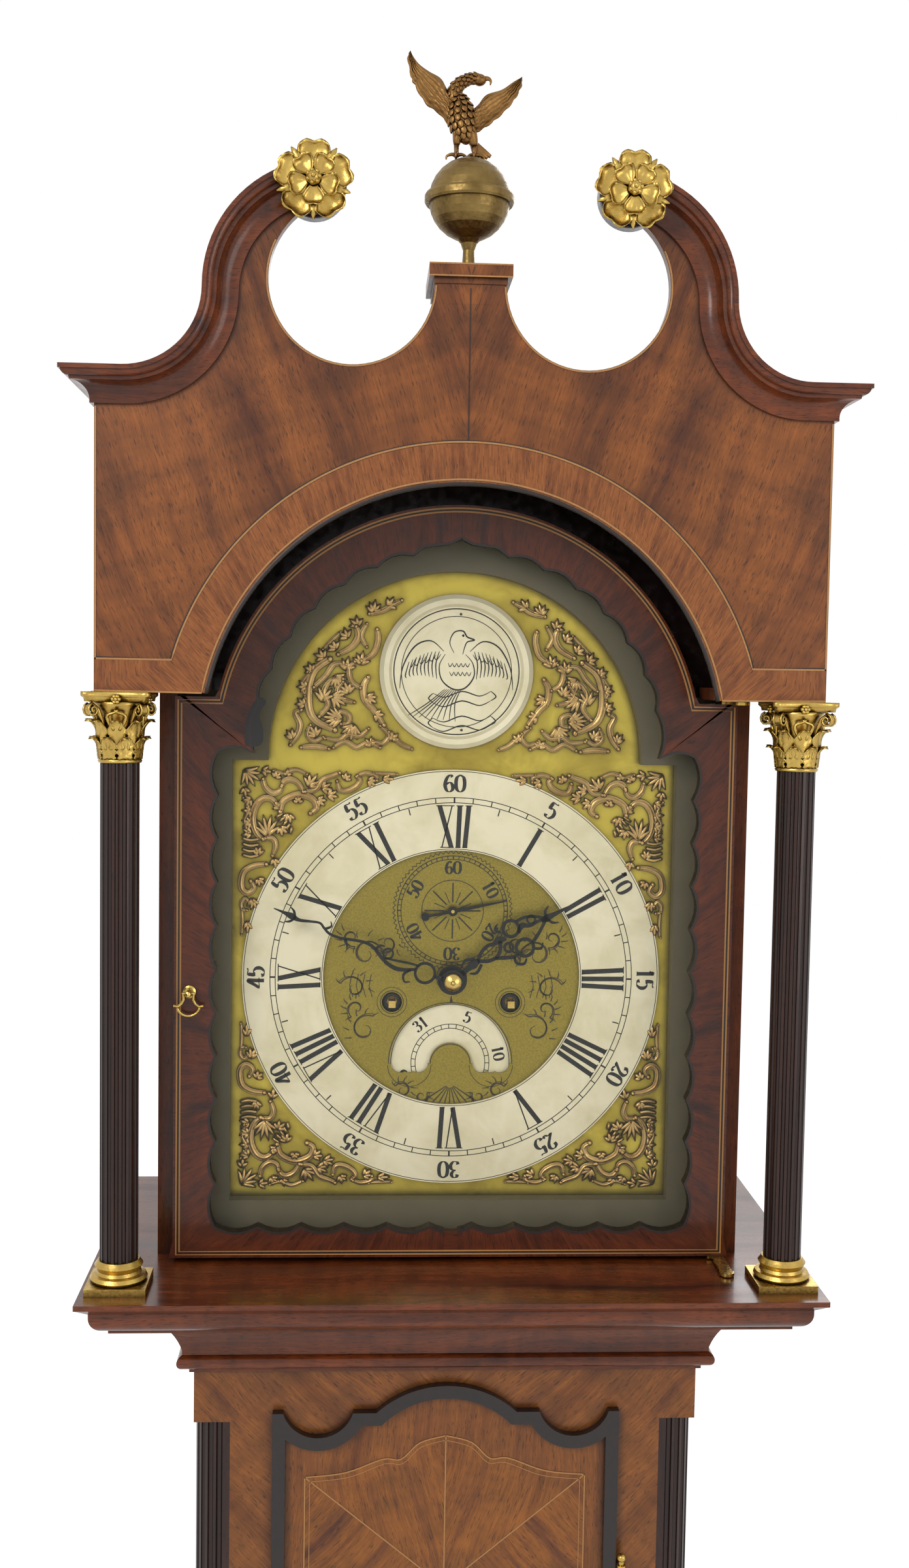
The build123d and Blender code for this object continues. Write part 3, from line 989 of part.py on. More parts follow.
def pendulum_pieces():
    bob_z = anchor_z - pendulum_length
    rod = box(-2.2, 2.2, pendulum_y - 1.6, pendulum_y + 1.6, bob_z - bob_r - 34, anchor_z - 18)
    rod += box(-4.5, 4.5, pendulum_y - 2.4, pendulum_y + 2.4, anchor_z - 30, anchor_z - 16)
    rod += box(-5.5, 5.5, pendulum_y - 0.3, pendulum_y + 0.3, anchor_z - 16, anchor_z + 14)
    rod += rod_x(pendulum_y, anchor_z + 18.6, 2.0, -9, 9)
    rod += box(-5.5, 5.5, pendulum_y - 0.3, pendulum_y + 0.3, anchor_z + 13, anchor_z + 18.4)
    parts["pendulum_rod"] = group(rod)
    y0, y1 = pendulum_y - bob_t / 2, pendulum_y + bob_t / 2
    bob = lathe_y(0, bob_z, [(0, y0), (14, y0 + 0.6), (30, y0 + 3), (45, y0 + 7), (bob_r, pendulum_y - 1.2),
                             (bob_r, pendulum_y + 1.2), (45, y1 - 7), (30, y1 - 3), (14, y1 - 0.6), (0, y1)])
    bob -= box(-2.3, 2.3, pendulum_y - 1.7, pendulum_y + 1.7, bob_z - bob_r - 2, bob_z + bob_r + 2)
    nut = rod_z(0, pendulum_y, 8, bob_z - bob_r - 9, bob_z - bob_r - 0.3)
    nut -= box(-2.3, 2.3, pendulum_y - 1.7, pendulum_y + 1.7, bob_z - bob_r - 12, bob_z - bob_r + 2)
    parts["pendulum_bob"] = group(bob, nut)


base_pieces()
trunk_pieces()
trunk_door_pieces()
hood_fixed_pieces()
column_pieces()
finial_pieces()
hood_door_pieces()
bail_piece()
dial_pieces()
movement_frame()
going_train()
strike_train()
motion_work()
hand_pieces()
winding_pieces("going", 1)
winding_pieces("strike", -1)
pendulum_pieces()

os.makedirs("parts", exist_ok=True)
for name, shape in parts.items():
    export_step(shape, f"parts/{name}.step")
print(len(parts), "nodes")
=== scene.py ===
import math

import bpy
from bpy.props import FloatProperty, PointerProperty, StringProperty
from mathutils import Matrix, Vector


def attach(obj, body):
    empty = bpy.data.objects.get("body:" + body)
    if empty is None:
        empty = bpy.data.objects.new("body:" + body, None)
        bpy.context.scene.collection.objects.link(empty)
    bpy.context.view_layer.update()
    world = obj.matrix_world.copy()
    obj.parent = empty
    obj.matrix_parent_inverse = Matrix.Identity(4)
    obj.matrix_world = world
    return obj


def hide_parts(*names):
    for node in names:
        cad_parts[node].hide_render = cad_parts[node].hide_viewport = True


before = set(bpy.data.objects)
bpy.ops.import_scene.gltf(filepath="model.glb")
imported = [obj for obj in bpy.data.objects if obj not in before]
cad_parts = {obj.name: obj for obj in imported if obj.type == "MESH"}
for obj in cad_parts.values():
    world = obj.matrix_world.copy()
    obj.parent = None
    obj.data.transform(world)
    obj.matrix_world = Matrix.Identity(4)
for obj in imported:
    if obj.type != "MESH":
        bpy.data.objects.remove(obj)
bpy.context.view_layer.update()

bl_info = {
    "name": "Longcase clock finish",
    "version": (1, 0, 0),
    "blender": (4, 5, 0),
    "location": "3D View > Sidebar > Clock",
    "description": "Veneers, stringing, cast brass, engraved dial and studio stage for the longcase clock",
    "category": "Object",
}

MM = 0.001
# Places shared with the carcase, in millimetres above the floor or from the middle
SHOULDER = 1850.0
DOOR_Y = -54.0
FRIEZE_Y = -109.0
DIAL_Y = -15.0
TRUNK_Y = -36.0
BASE_Y = -75.0
CENTRE_Z = SHOULDER - 151.0
SECONDS_Z = SHOULDER - 104.0
DATE_Z = SHOULDER - 212.0
BOSS_Z = SHOULDER + 62.0
ARCH_Z = SHOULDER + 14.0
DOOR_ARCH_Z = SHOULDER + 8.0
DOOR_ARCH_R = 164.0
DOOR_HALF = 188.0
DOOR_LOW = SHOULDER - 336.0
DOOR_TOP = SHOULDER + 43.0
SIGHT_HALF = 160.0
SIGHT_LOW = SHOULDER - 315.0
FRIEZE_HALF = 231.6
DIAL_WIDTH = 305.0
WINDING_X = 41.4
WINDING_Z = SHOULDER - 168.5
MINUTE_IN, MINUTE_OUT = 122.6, 126.2
SECONDS_IN, SECONDS_OUT = 36.0, 38.4
DATE_SHIFT = 20.3  # degrees that the date disc is turned from its fifth day


class ClockSizes(bpy.types.PropertyGroup):
    """Sizes of the applied work, in metres."""
    string_width: FloatProperty(name="String width", description="Width of a boxwood line", default=0.0011,
                                min=0.0004, max=0.003, unit="LENGTH")
    band_width: FloatProperty(name="Arch band width", description="Width of the crossbanding round the arch",
                              default=0.0225, min=0.01, max=0.03, unit="LENGTH")
    veneer: FloatProperty(name="Veneer", description="How far an applied veneer stands proud of its ground",
                          default=0.0003, min=0.0001, max=0.001, unit="LENGTH")
    numeral_height: FloatProperty(name="Hour numeral height", description="Radial height of an hour numeral",
                                  default=0.029, min=0.015, max=0.032, unit="LENGTH")


class ClockColours(bpy.types.PropertyGroup):
    """Finish colours, as sRGB hex values."""
    mahogany_light: StringProperty(name="Mahogany, light", description="Light figure of the case", default="#8F5122")
    mahogany_dark: StringProperty(name="Mahogany, dark", description="Dark figure of the case", default="#4A200D")
    boxwood: StringProperty(name="Boxwood", description="Inlaid lines", default="#AE7C46")
    brass: StringProperty(name="Brass", description="Dial plate", default="#C4AF45")
    silver: StringProperty(name="Silvering", description="Chapter ring", default="#F1E7C4")


def settings():
    scene = bpy.context.scene
    return scene.clock_sizes, scene.clock_colours


# Shader helpers
def tone(text):
    """An sRGB hex colour as linear RGBA."""
    parts = [int(text[i:i + 2], 16) / 255 for i in (1, 3, 5)]
    return [c / 12.92 if c <= 0.04045 else ((c + 0.055) / 1.055) ** 2.4 for c in parts] + [1.0]


def add(tree, kind, inputs=None, stops=None, **options):
    """Adds one node, sets its options, and links or sets its inputs."""
    made = tree.nodes.new(kind)
    for key, value in options.items():
        setattr(made, key, value)
    for key, value in (inputs or {}).items():
        if isinstance(value, bpy.types.NodeSocket):
            tree.links.new(value, made.inputs[key])
        else:
            made.inputs[key].default_value = value
    if stops:
        ramp = made.color_ramp
        while len(ramp.elements) < len(stops):
            ramp.elements.new(0.5)
        for element, (place, colour) in zip(ramp.elements, stops):
            element.position = place
            element.color = tone(colour) if isinstance(colour, str) else [colour] * 3 + [1]
    return made


def new_material(name):
    material = bpy.data.materials.new(name)
    material.use_nodes = True
    tree = material.node_tree
    tree.nodes.clear()
    out = tree.nodes.new("ShaderNodeOutputMaterial")
    shader = tree.nodes.new("ShaderNodeBsdfPrincipled")
    tree.links.new(shader.outputs[0], out.inputs[0])
    return material, tree, shader


def per_metre(size_mm):
    """Noise scale whose features are about so many millimetres across."""
    return 1000.0 / size_mm


def wood(name, light, dark, source="Object", turn=(0, 0, 0), mirror=False, ripple=0.35, gloss=0.28, pores=0.55,
         stretch=14.0, band=26.0):
    """French-polished veneer. The grain runs along the turned X axis, or along U where it is laid by its UVs.

    Polish gives a clear coat over a slightly rough ground. The eye sees broad ribbon figure, a cross ripple that
    catches the light, fine fibres and short dark pores.
    """
    material, tree, shader = new_material(name)
    place = add(tree, "ShaderNodeTexCoord").outputs[source]
    if mirror:
        split = add(tree, "ShaderNodeSeparateXYZ", {0: place})
        fold = add(tree, "ShaderNodeMath", {0: split.outputs[0]}, operation="ABSOLUTE")
        place = add(tree, "ShaderNodeCombineXYZ",
                    {0: fold.outputs[0], 1: split.outputs[1], 2: split.outputs[2]}).outputs[0]
    turned = add(tree, "ShaderNodeMapping", {0: place, "Rotation": turn}).outputs[0]
    drift = add(tree, "ShaderNodeTexNoise", {0: turned, "Scale": per_metre(160), "Detail": 2.0}).outputs["Color"]
    swayed = add(tree, "ShaderNodeVectorMath", {0: drift, 1: (0.02, 0.03, 0.03)}, operation="MULTIPLY").outputs[0]
    bent = add(tree, "ShaderNodeVectorMath", {0: turned, 1: swayed}, operation="ADD").outputs[0]
    long = add(tree, "ShaderNodeMapping", {0: bent, "Scale": (1 / stretch, 1, 1)}).outputs[0]
    bands = add(tree, "ShaderNodeTexNoise", {0: long, "Scale": per_metre(band), "Detail": 5.0, "Roughness": 0.62})
    base = add(tree, "ShaderNodeValToRGB", {0: bands.outputs[0]}, stops=[(0.28, dark), (0.5, light), (0.74, dark)])
    wide = add(tree, "ShaderNodeMapping", {0: bent, "Scale": (1, 0.35, 0.35)}).outputs[0]
    cross = add(tree, "ShaderNodeTexNoise", {0: wide, "Scale": per_metre(13), "Detail": 3.0})
    sheen = add(tree, "ShaderNodeMapRange", {0: cross.outputs[0], 1: 0.3, 2: 0.7, 3: 1 - ripple, 4: 1 + ripple * 0.6})
    fine = add(tree, "ShaderNodeMapping", {0: bent, "Scale": (0.05, 1, 1)}).outputs[0]
    fibre = add(tree, "ShaderNodeTexNoise", {0: fine, "Scale": per_metre(1.1), "Detail": 3.0})
    thread = add(tree, "ShaderNodeMapRange", {0: fibre.outputs[0], 1: 0.3, 2: 0.7, 3: 0.78, 4: 1.16})
    dash = add(tree, "ShaderNodeMapping", {0: bent, "Scale": (0.12, 1, 1)}).outputs[0]
    # Pores are about 0.3 mm wide on the real veneer and are drawn at 0.8 mm so that they show
    pore = add(tree, "ShaderNodeTexNoise", {0: dash, "Scale": per_metre(0.8), "Detail": 1.0})
    hole = add(tree, "ShaderNodeMapRange", {0: pore.outputs[0], 1: 0.6, 2: 0.7, 3: 1.0, 4: 1 - pores})
    shade = add(tree, "ShaderNodeMath", {0: sheen.outputs[0], 1: thread.outputs[0]}, operation="MULTIPLY")
    shade = add(tree, "ShaderNodeMath", {0: shade.outputs[0], 1: hole.outputs[0]}, operation="MULTIPLY")
    # Painted shade: ambient occlusion darkens the veneer in creases and corners
    crease = add(tree, "ShaderNodeAmbientOcclusion", {"Distance": 0.006}, samples=4)
    crease_shade = add(tree, "ShaderNodeMapRange", {0: crease.outputs["AO"], 1: 0.35, 2: 0.95, 3: 0.35, 4: 1.0})
    shade = add(tree, "ShaderNodeMath", {0: shade.outputs[0], 1: crease_shade.outputs[0]}, operation="MULTIPLY")
    colour = add(tree, "ShaderNodeVectorMath", {0: base.outputs[0], "Scale": shade.outputs[0]}, operation="SCALE")
    tree.links.new(colour.outputs[0], shader.inputs["Base Color"])
    rough = add(tree, "ShaderNodeMapRange", {0: bands.outputs[0], 1: 0.3, 2: 0.7, 3: gloss, 4: gloss + 0.16})
    tree.links.new(rough.outputs[0], shader.inputs["Roughness"])
    bump = add(tree, "ShaderNodeBump", {"Height": hole.outputs[0], "Strength": 0.12, "Distance": 0.0002})
    tree.links.new(bump.outputs[0], shader.inputs["Normal"])
    shader.inputs["Coat Weight"].default_value = 0.2
    shader.inputs["Coat Roughness"].default_value = 0.1
    shader.inputs["Specular IOR Level"].default_value = 0.3
    return material


def cast_brass(name, light, mid, dark, gloss=0.24, crevice=2.5, patch=0.35, grain=0.0006):
    """Brass with painted shade and some grime in its hollows, bright on its high points, with faint cloudy tarnish."""
    material, tree, shader = new_material(name)
    place = add(tree, "ShaderNodeTexCoord").outputs["Object"]
    cloud = add(tree, "ShaderNodeTexNoise", {0: place, "Scale": per_metre(14), "Detail": 5.0, "Roughness": 0.6})
    tarnish = add(tree, "ShaderNodeValToRGB", {0: cloud.outputs[0]}, stops=[(0.3, light), (0.72, mid)])
    # Painted shade, with some grime: ambient occlusion mixes the hollows towards the dark colour
    hollow = add(tree, "ShaderNodeAmbientOcclusion", {"Distance": crevice * MM}, samples=6)
    reach = add(tree, "ShaderNodeMapRange", {0: hollow.outputs["AO"], 1: 0.25, 2: 0.9})
    colour = add(tree, "ShaderNodeMix", {0: reach.outputs[0], 6: tone(dark), 7: tarnish.outputs[0]},
                 data_type="RGBA")
    tree.links.new(colour.outputs[2], shader.inputs["Base Color"])
    speck = add(tree, "ShaderNodeTexNoise", {0: place, "Scale": per_metre(2.2), "Detail": 4.0})
    rough = add(tree, "ShaderNodeMapRange", {0: speck.outputs[0], 1: 0.3, 2: 0.7, 3: gloss, 4: gloss + patch * 0.5})
    tree.links.new(rough.outputs[0], shader.inputs["Roughness"])
    bump = add(tree, "ShaderNodeBump", {"Height": speck.outputs[0], "Strength": 0.25, "Distance": grain})
    tree.links.new(bump.outputs[0], shader.inputs["Normal"])
    shader.inputs["Metallic"].default_value = 1.0
    return material


def dial_metal(name, light, dark, rough_low, rough_high, metallic, cloud_mm, hollow=0.0, centre=""):
    """Flat dial work: lapped brass or silvering, with soft clouds of age and fine lapping lines.

    hollow is how far, in mm, painted shade spreads round whatever is screwed to the plate. centre is the duller colour
    of the ground inside the chapter ring, which is matted with a punch.
    """
    material, tree, shader = new_material(name)
    place = add(tree, "ShaderNodeTexCoord").outputs["Object"]
    cloud = add(tree, "ShaderNodeTexNoise", {0: place, "Scale": per_metre(cloud_mm), "Detail": 6.0,
                                             "Roughness": 0.65, "Distortion": 0.4})
    colour = add(tree, "ShaderNodeValToRGB", {0: cloud.outputs[0]}, stops=[(0.32, dark), (0.6, light)]).outputs[0]
    if centre:
        split = add(tree, "ShaderNodeSeparateXYZ", {0: place})
        rise = add(tree, "ShaderNodeMath", {0: split.outputs[2], 1: CENTRE_Z * MM}, operation="SUBTRACT")
        flat = add(tree, "ShaderNodeCombineXYZ", {0: split.outputs[0], 1: rise.outputs[0]})
        out = add(tree, "ShaderNodeVectorMath", {0: flat.outputs[0]}, operation="LENGTH")
        inside = add(tree, "ShaderNodeMath", {0: out.outputs["Value"], 1: 0.092}, operation="LESS_THAN")
        # Punch marks are about 0.5 mm and are drawn at 1.2 mm so that they show
        punch = add(tree, "ShaderNodeTexVoronoi", {0: place, "Scale": per_metre(1.2)})
        matted = add(tree, "ShaderNodeMapRange", {0: punch.outputs["Distance"], 1: 0.1, 2: 0.7, 3: 0.8, 4: 1.15})
        dull = add(tree, "ShaderNodeVectorMath", {0: tone(centre)[:3], "Scale": matted.outputs[0]}, operation="SCALE")
        colour = add(tree, "ShaderNodeMix", {0: inside.outputs[0], 6: colour, 7: dull.outputs[0]},
                     data_type="RGBA").outputs[2]
    if hollow:
        # Painted shade: ambient occlusion darkens the plate round the spandrels and rings
        near = add(tree, "ShaderNodeAmbientOcclusion", {"Distance": hollow * MM}, samples=6)
        plate_shade = add(tree, "ShaderNodeMapRange", {0: near.outputs["AO"], 1: 0.3, 2: 0.95, 3: 0.18, 4: 1.0})
        colour = add(tree, "ShaderNodeVectorMath", {0: colour, "Scale": plate_shade.outputs[0]}, operation="SCALE").outputs[0]
    tree.links.new(colour, shader.inputs["Base Color"])
    rough = add(tree, "ShaderNodeMapRange", {0: cloud.outputs[0], 1: 0.3, 2: 0.7, 3: rough_high, 4: rough_low})
    tree.links.new(rough.outputs[0], shader.inputs["Roughness"])
    lines = add(tree, "ShaderNodeMapping", {0: place, "Scale": (0.04, 1, 1)}).outputs[0]
    lap = add(tree, "ShaderNodeTexNoise", {0: lines, "Scale": per_metre(0.7), "Detail": 2.0})
    bump = add(tree, "ShaderNodeBump", {"Height": lap.outputs[0], "Strength": 0.05, "Distance": 0.0001})
    tree.links.new(bump.outputs[0], shader.inputs["Normal"])
    shader.inputs["Metallic"].default_value = metallic
    return material


def plain(name, colour, low, high, metallic=0.0, grit=1.5, spread=0.25):
    """A simple finish with small changes of shade and sheen over its surface."""
    material, tree, shader = new_material(name)
    place = add(tree, "ShaderNodeTexCoord").outputs["Object"]
    speck = add(tree, "ShaderNodeTexNoise", {0: place, "Scale": per_metre(grit), "Detail": 4.0})
    shade = add(tree, "ShaderNodeMapRange", {0: speck.outputs[0], 1: 0.25, 2: 0.75, 3: 1 - spread, 4: 1 + spread})
    tint = add(tree, "ShaderNodeVectorMath", {0: tone(colour)[:3], "Scale": shade.outputs[0]}, operation="SCALE")
    tree.links.new(tint.outputs[0], shader.inputs["Base Color"])
    rough = add(tree, "ShaderNodeMapRange", {0: speck.outputs[0], 1: 0.3, 2: 0.7, 3: low, 4: high})
    tree.links.new(rough.outputs[0], shader.inputs["Roughness"])
    shader.inputs["Metallic"].default_value = metallic
    return material


def glass_material():
    """Old window glass: clear, with a faint haze."""
    material, tree, shader = new_material("sheet glass, hand polished")
    place = add(tree, "ShaderNodeTexCoord").outputs["Object"]
    wave = add(tree, "ShaderNodeTexNoise", {0: place, "Scale": per_metre(60), "Detail": 2.0})
    bump = add(tree, "ShaderNodeBump", {"Height": wave.outputs[0], "Strength": 0.2, "Distance": 0.002})
    tree.links.new(bump.outputs[0], shader.inputs["Normal"])
    shader.inputs["Base Color"].default_value = tone("#C9CFC6")
    shader.inputs["Roughness"].default_value = 0.03
    shader.inputs["Specular IOR Level"].default_value = 0.15
    shader.inputs["Alpha"].default_value = 0.025
    return material


FINISH = {}
QUARTER = math.pi / 2


def make_finishes():
    _, c = settings()
    light, dark = c.mahogany_light, c.mahogany_dark
    up = (0, QUARTER, 0)
    FINISH.update({
        # Case woods: veneer on a carcase, grain upright unless said otherwise
        "figured": wood("figured mahogany veneer, bookmatched", light, dark, turn=(0, QUARTER - 0.35, 0), mirror=True,
                        ripple=0.3, band=42),
        "upright": wood("mahogany, planed and polished", "#6A3418", "#38170A", turn=up, ripple=0.22),
        "across": wood("mahogany moulding, scraped and polished", "#783A18", "#3A1408", ripple=0.3, gloss=0.17),
        "dark_across": wood("mahogany door veneer", "#582812", "#2C1007", ripple=0.3, gloss=0.22),
        "laid": wood("crossbanded mahogany", "#98592A", "#653215", source="UV", ripple=0.15, band=9, stretch=6),
        "laid_dark": wood("crossbanded mahogany, dark", "#602B12", "#301007", source="UV", ripple=0.3, band=16,
                          stretch=5, gloss=0.22),
        "trunk_veneer": wood("figured mahogany, quartered", "#93571F", "#58290F", source="UV", ripple=0.25, band=15),
        "ebonised": plain("pearwood, stained black and polished", "#1D1310", 0.14, 0.3, spread=0.4, grit=6),
        "fluting": wood("mahogany column, stained dark", "#34190F", "#160A06", turn=up, ripple=0.1, gloss=0.25),
        "box": plain("boxwood line, scraped flush", c.boxwood, 0.35, 0.5, grit=0.8, spread=0.18),
        "black_line": plain("dyed holly line", "#1B100C", 0.35, 0.5),
        "filler": plain("old stopping, shellac black", "#0D0806", 0.35, 0.55, spread=0.5, grit=5),
        "oak": wood("oak board, planed", "#6E6250", "#4A4134", turn=up, ripple=0.1, gloss=0.55),
        # Brass: cast, filed and polished, with painted shade and some grime in hollows that fingers and cloths don't
        # reach
        "brass": cast_brass("brass, turned and polished", "#D2B565", "#B3924A", "#5A431F", gloss=0.16),
        "gilt": cast_brass("cast brass, lacquered", "#CDAE5E", "#A98A48", "#3B2B14", gloss=0.22, crevice=3.0),
        "spandrel": cast_brass("cast brass, dulled gilding", "#C2A268", "#8F7040", "#22170A", gloss=0.28, crevice=3.0),
        "aged": cast_brass("brass, aged brown", "#8E7647", "#6B5630", "#33260F", gloss=0.3, crevice=4.0, patch=0.5),
        "bronze": cast_brass("cast brass, bronzed by age", "#9A7445", "#6E4E2C", "#241709", gloss=0.34, crevice=2.5),
        "dial": dial_metal("brass dial plate, matted and lacquered", c.brass, "#8E7A26", 0.3, 0.46, 0.85, 55,
                           hollow=6.0, centre="#8A7A30"),
        "silver": dial_metal("silvered brass, waxed", c.silver, "#DDD2A8", 0.42, 0.6, 0.22, 38),
        "wax": plain("black engraver's wax", "#0B0907", 0.55, 0.75),
        "engraved": plain("engraved line, dark with age", "#33280C", 0.5, 0.7),
        "blued": plain("steel, blued by heat", "#0B0B0E", 0.3, 0.45, metallic=0.5),
        "steel": plain("bright steel, filed", "#8F9094", 0.25, 0.42, metallic=1.0, spread=0.12),
        "gut": plain("gut line, varnished", "#A9854C", 0.4, 0.55, grit=1.0),
        "glass": glass_material(),
    })


# Mesh helpers. Positions are given in millimetres and turned to metres once, in piece()
class Heap:
    """Points and faces of one piece, gathered part by part."""

    def __init__(self):
        self.points, self.faces, self.uvs = [], [], []

    def take(self, points, faces, uvs=None):
        start = len(self.points)
        self.points += [tuple(p) for p in points]
        self.faces += [tuple(start + i for i in f) for f in faces]
        self.uvs += [[uvs[i] for i in f] for f in faces] if uvs else [[(0, 0)] * len(f) for f in faces]

    def piece(self, name, finish, body, smooth=True, replaces=()):
        mesh = bpy.data.meshes.new(name)
        mesh.from_pydata([(x * MM, y * MM, z * MM) for x, y, z in self.points], [], self.faces)
        layer = mesh.uv_layers.new(name="UVMap")
        for polygon, corner_uvs in zip(mesh.polygons, self.uvs):
            for loop, uv in zip(polygon.loop_indices, corner_uvs):
                layer.data[loop].uv = uv
        mesh.validate()
        mesh.materials.append(FINISH[finish])
        if smooth:
            mesh.polygons.foreach_set("use_smooth", [True] * len(mesh.polygons))
        made = bpy.data.objects.new(name, mesh)
        bpy.context.scene.collection.objects.link(made)
        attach(made, body)
        for node in replaces:
            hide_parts(node)
        return made


def smooth_line(points, steps=6, closed=False):
    """A curve through all the given points."""
    dots = [Vector(p) for p in points]
    count = len(dots)
    out = []
    for n in range(count if closed else count - 1):
        a = dots[(n - 1) % count] if closed or n else dots[0]
        b, c = dots[n], dots[(n + 1) % count]
        d = dots[(n + 2) % count] if closed or n + 2 < count else dots[-1]
        for k in range(steps):
            t = k / steps
            out.append(0.5 * ((2 * b) + (c - a) * t + (2 * a - 5 * b + 4 * c - d) * t * t
                              + (3 * b - a - 3 * c + d) * t ** 3))
    out.append(dots[0] if closed else dots[-1])
    return out


def ribbon(heap, line, width, y, depth=0.0):
    """A flat strip along a line of (x, z) points, seen from the front. width is a number or one per point."""
    line = [Vector((p[0], p[1])) for p in line]
    left, right, along = [], [], [0.0]
    for n, p in enumerate(line):
        run = line[min(n + 1, len(line) - 1)] - line[max(n - 1, 0)]
        side = Vector((-run.y, run.x)).normalized() if run.length > 1e-9 else Vector((0, 1))
        half = (width[n] if isinstance(width, (list, tuple)) else width) / 2
        left.append(p + side * half)
        right.append(p - side * half)
        if n:
            along.append(along[-1] + (p - line[n - 1]).length * MM)
    count = len(line)
    points = [(p.x, y, p.y) for p in left + right]
    uvs = [(0.0, s) for s in along] + [(0.02, s) for s in along]
    faces = [(n, n + 1, count + n + 1, count + n) for n in range(count - 1)]
    if depth:
        points += [(p.x, y + depth, p.y) for p in left + right]
        uvs = uvs * 2
        shift = 2 * count
        faces += [(shift + n, shift + count + n, shift + count + n + 1, shift + n + 1) for n in range(count - 1)]
        faces += [(n, shift + n, shift + n + 1, n + 1) for n in range(count - 1)]
        faces += [(count + n, count + n + 1, shift + count + n + 1, shift + count + n) for n in range(count - 1)]
        faces += [(0, count, shift + count, shift),
                  (count - 1, shift + count - 1, shift + 2 * count - 1, 2 * count - 1)]
    heap.take(points, faces, uvs)


def ring_faces(rings, sides):
    """The faces that join closed rings of points, all with the same count of sides."""
    return [(n * sides + k, n * sides + (k + 1) % sides, (n + 1) * sides + (k + 1) % sides, (n + 1) * sides + k)
            for n in range(rings - 1) for k in range(sides)]


def end_caps(rings, sides):
    """The two faces that close the first and the last ring."""
    return [tuple(reversed(range(sides))), tuple(range((rings - 1) * sides, rings * sides))]


def smooth_flat(spots, steps, closed=False):
    """smooth_line for (x, z) points."""
    return [(p.x, p.y) for p in smooth_line([(x, z, 0) for x, z in spots], steps, closed)]


def mirrored(side, line):
    return [(side * x, z) for x, z in line]


def tube(heap, line, radius, sides=8, squash=1.0):
    """A round or flattened bar along a line of 3-D points. radius is a number or one per point."""
    line = [Vector(p) for p in line]
    points = []
    for n, p in enumerate(line):
        run = (line[min(n + 1, len(line) - 1)] - line[max(n - 1, 0)]).normalized()
        over = Vector((0, -1, 0)) if abs(run.y) < 0.9 else Vector((0, 0, 1))
        side = run.cross(over).normalized()
        lift = side.cross(run).normalized()
        r = radius[n] if isinstance(radius, (list, tuple)) else radius
        for k in range(sides):
            a = 2 * math.pi * k / sides
            points.append(p + side * (r * math.cos(a)) + lift * (r * squash * math.sin(a)))
    heap.take(points, ring_faces(len(line), sides) + end_caps(len(line), sides))


def sheet_grid(heap, rows, thick=None):
    """A surface through rows of points, or a thin shell where thick gives the offset of its back."""
    wide = len(rows[0])
    points = [Vector(p) for row in rows for p in row]
    faces = [(r * wide + c, r * wide + c + 1, (r + 1) * wide + c + 1, (r + 1) * wide + c)
             for r in range(len(rows) - 1) for c in range(wide - 1)]
    if thick:
        count = len(points)
        points += [p + Vector(thick) for p in points]
        faces += [tuple(count + i for i in reversed(f)) for f in faces]
        rim = list(range(wide)) + [r * wide + wide - 1 for r in range(1, len(rows))]
        rim += [(len(rows) - 1) * wide + c for c in range(wide - 2, -1, -1)]
        rim += [r * wide for r in range(len(rows) - 2, -1, -1)]
        faces += [(b, a, count + a, count + b) for a, b in zip(rim, rim[1:])]
    heap.take(points, faces)


def blob(heap, centre, sizes, rings=10, sides=14, turn=None):
    """A smooth egg shape."""
    points = []
    for r in range(rings + 1):
        lat = math.pi * r / rings - math.pi / 2
        for s in range(sides):
            a = 2 * math.pi * s / sides
            p = Vector((sizes[0] * math.cos(lat) * math.cos(a), sizes[1] * math.cos(lat) * math.sin(a),
                        sizes[2] * math.sin(lat)))
            points.append((turn @ p if turn else p) + Vector(centre))
    heap.take(points, ring_faces(rings + 1, sides))


def flat_plate(heap, outline, y, depth, grain=0.0):
    """A flat veneer with a closed (x, z) outline. grain turns its figure, in degrees from level."""
    count = len(outline)
    c, s = math.cos(math.radians(grain)), math.sin(math.radians(grain))
    uvs = [((x * c + z * s) * MM, (z * c - x * s) * MM) for x, z in outline]
    points = [(x, y, z) for x, z in outline] + [(x, y + depth, z) for x, z in outline]
    area = sum(outline[n][0] * outline[(n + 1) % count][1] - outline[(n + 1) % count][0] * outline[n][1]
               for n in range(count))
    front = tuple(range(count)) if area > 0 else tuple(reversed(range(count)))
    faces = [front]
    for n in range(count):
        m = (n + 1) % count
        faces.append((m, n, count + n, count + m) if area > 0 else (n, m, count + m, count + n))
    heap.take(points, faces, uvs * 2)


def band(heap, outer, inner, y, depth):
    """A veneer strip between two matching lines of (x, z) points, its grain running from edge to edge."""
    along = 0.0
    for n in range(len(outer) - 1):
        (ax, az), (bx, bz), (cx, cz), (dx, dz) = outer[n], outer[n + 1], inner[n + 1], inner[n]
        step = math.hypot(bx - ax, bz - az) * MM
        wide = math.hypot(ax - dx, az - dz) * MM
        uv = [(0, along), (0, along + step), (wide, along + step), (wide, along)]
        points = [(ax, y, az), (bx, y, bz), (cx, y, cz), (dx, y, dz)]
        points += [(px, y + depth, pz) for px, _, pz in points]
        heap.take(points, [(3, 2, 1, 0), (0, 1, 5, 4), (2, 3, 7, 6)], uv + uv)
        along += step


def arc(cx, cz, r, start, end, steps=24):
    """Points on an arc, in degrees from +X towards +Z."""
    return [(cx + r * math.cos(math.radians(start + (end - start) * n / steps)),
             cz + r * math.sin(math.radians(start + (end - start) * n / steps))) for n in range(steps + 1)]


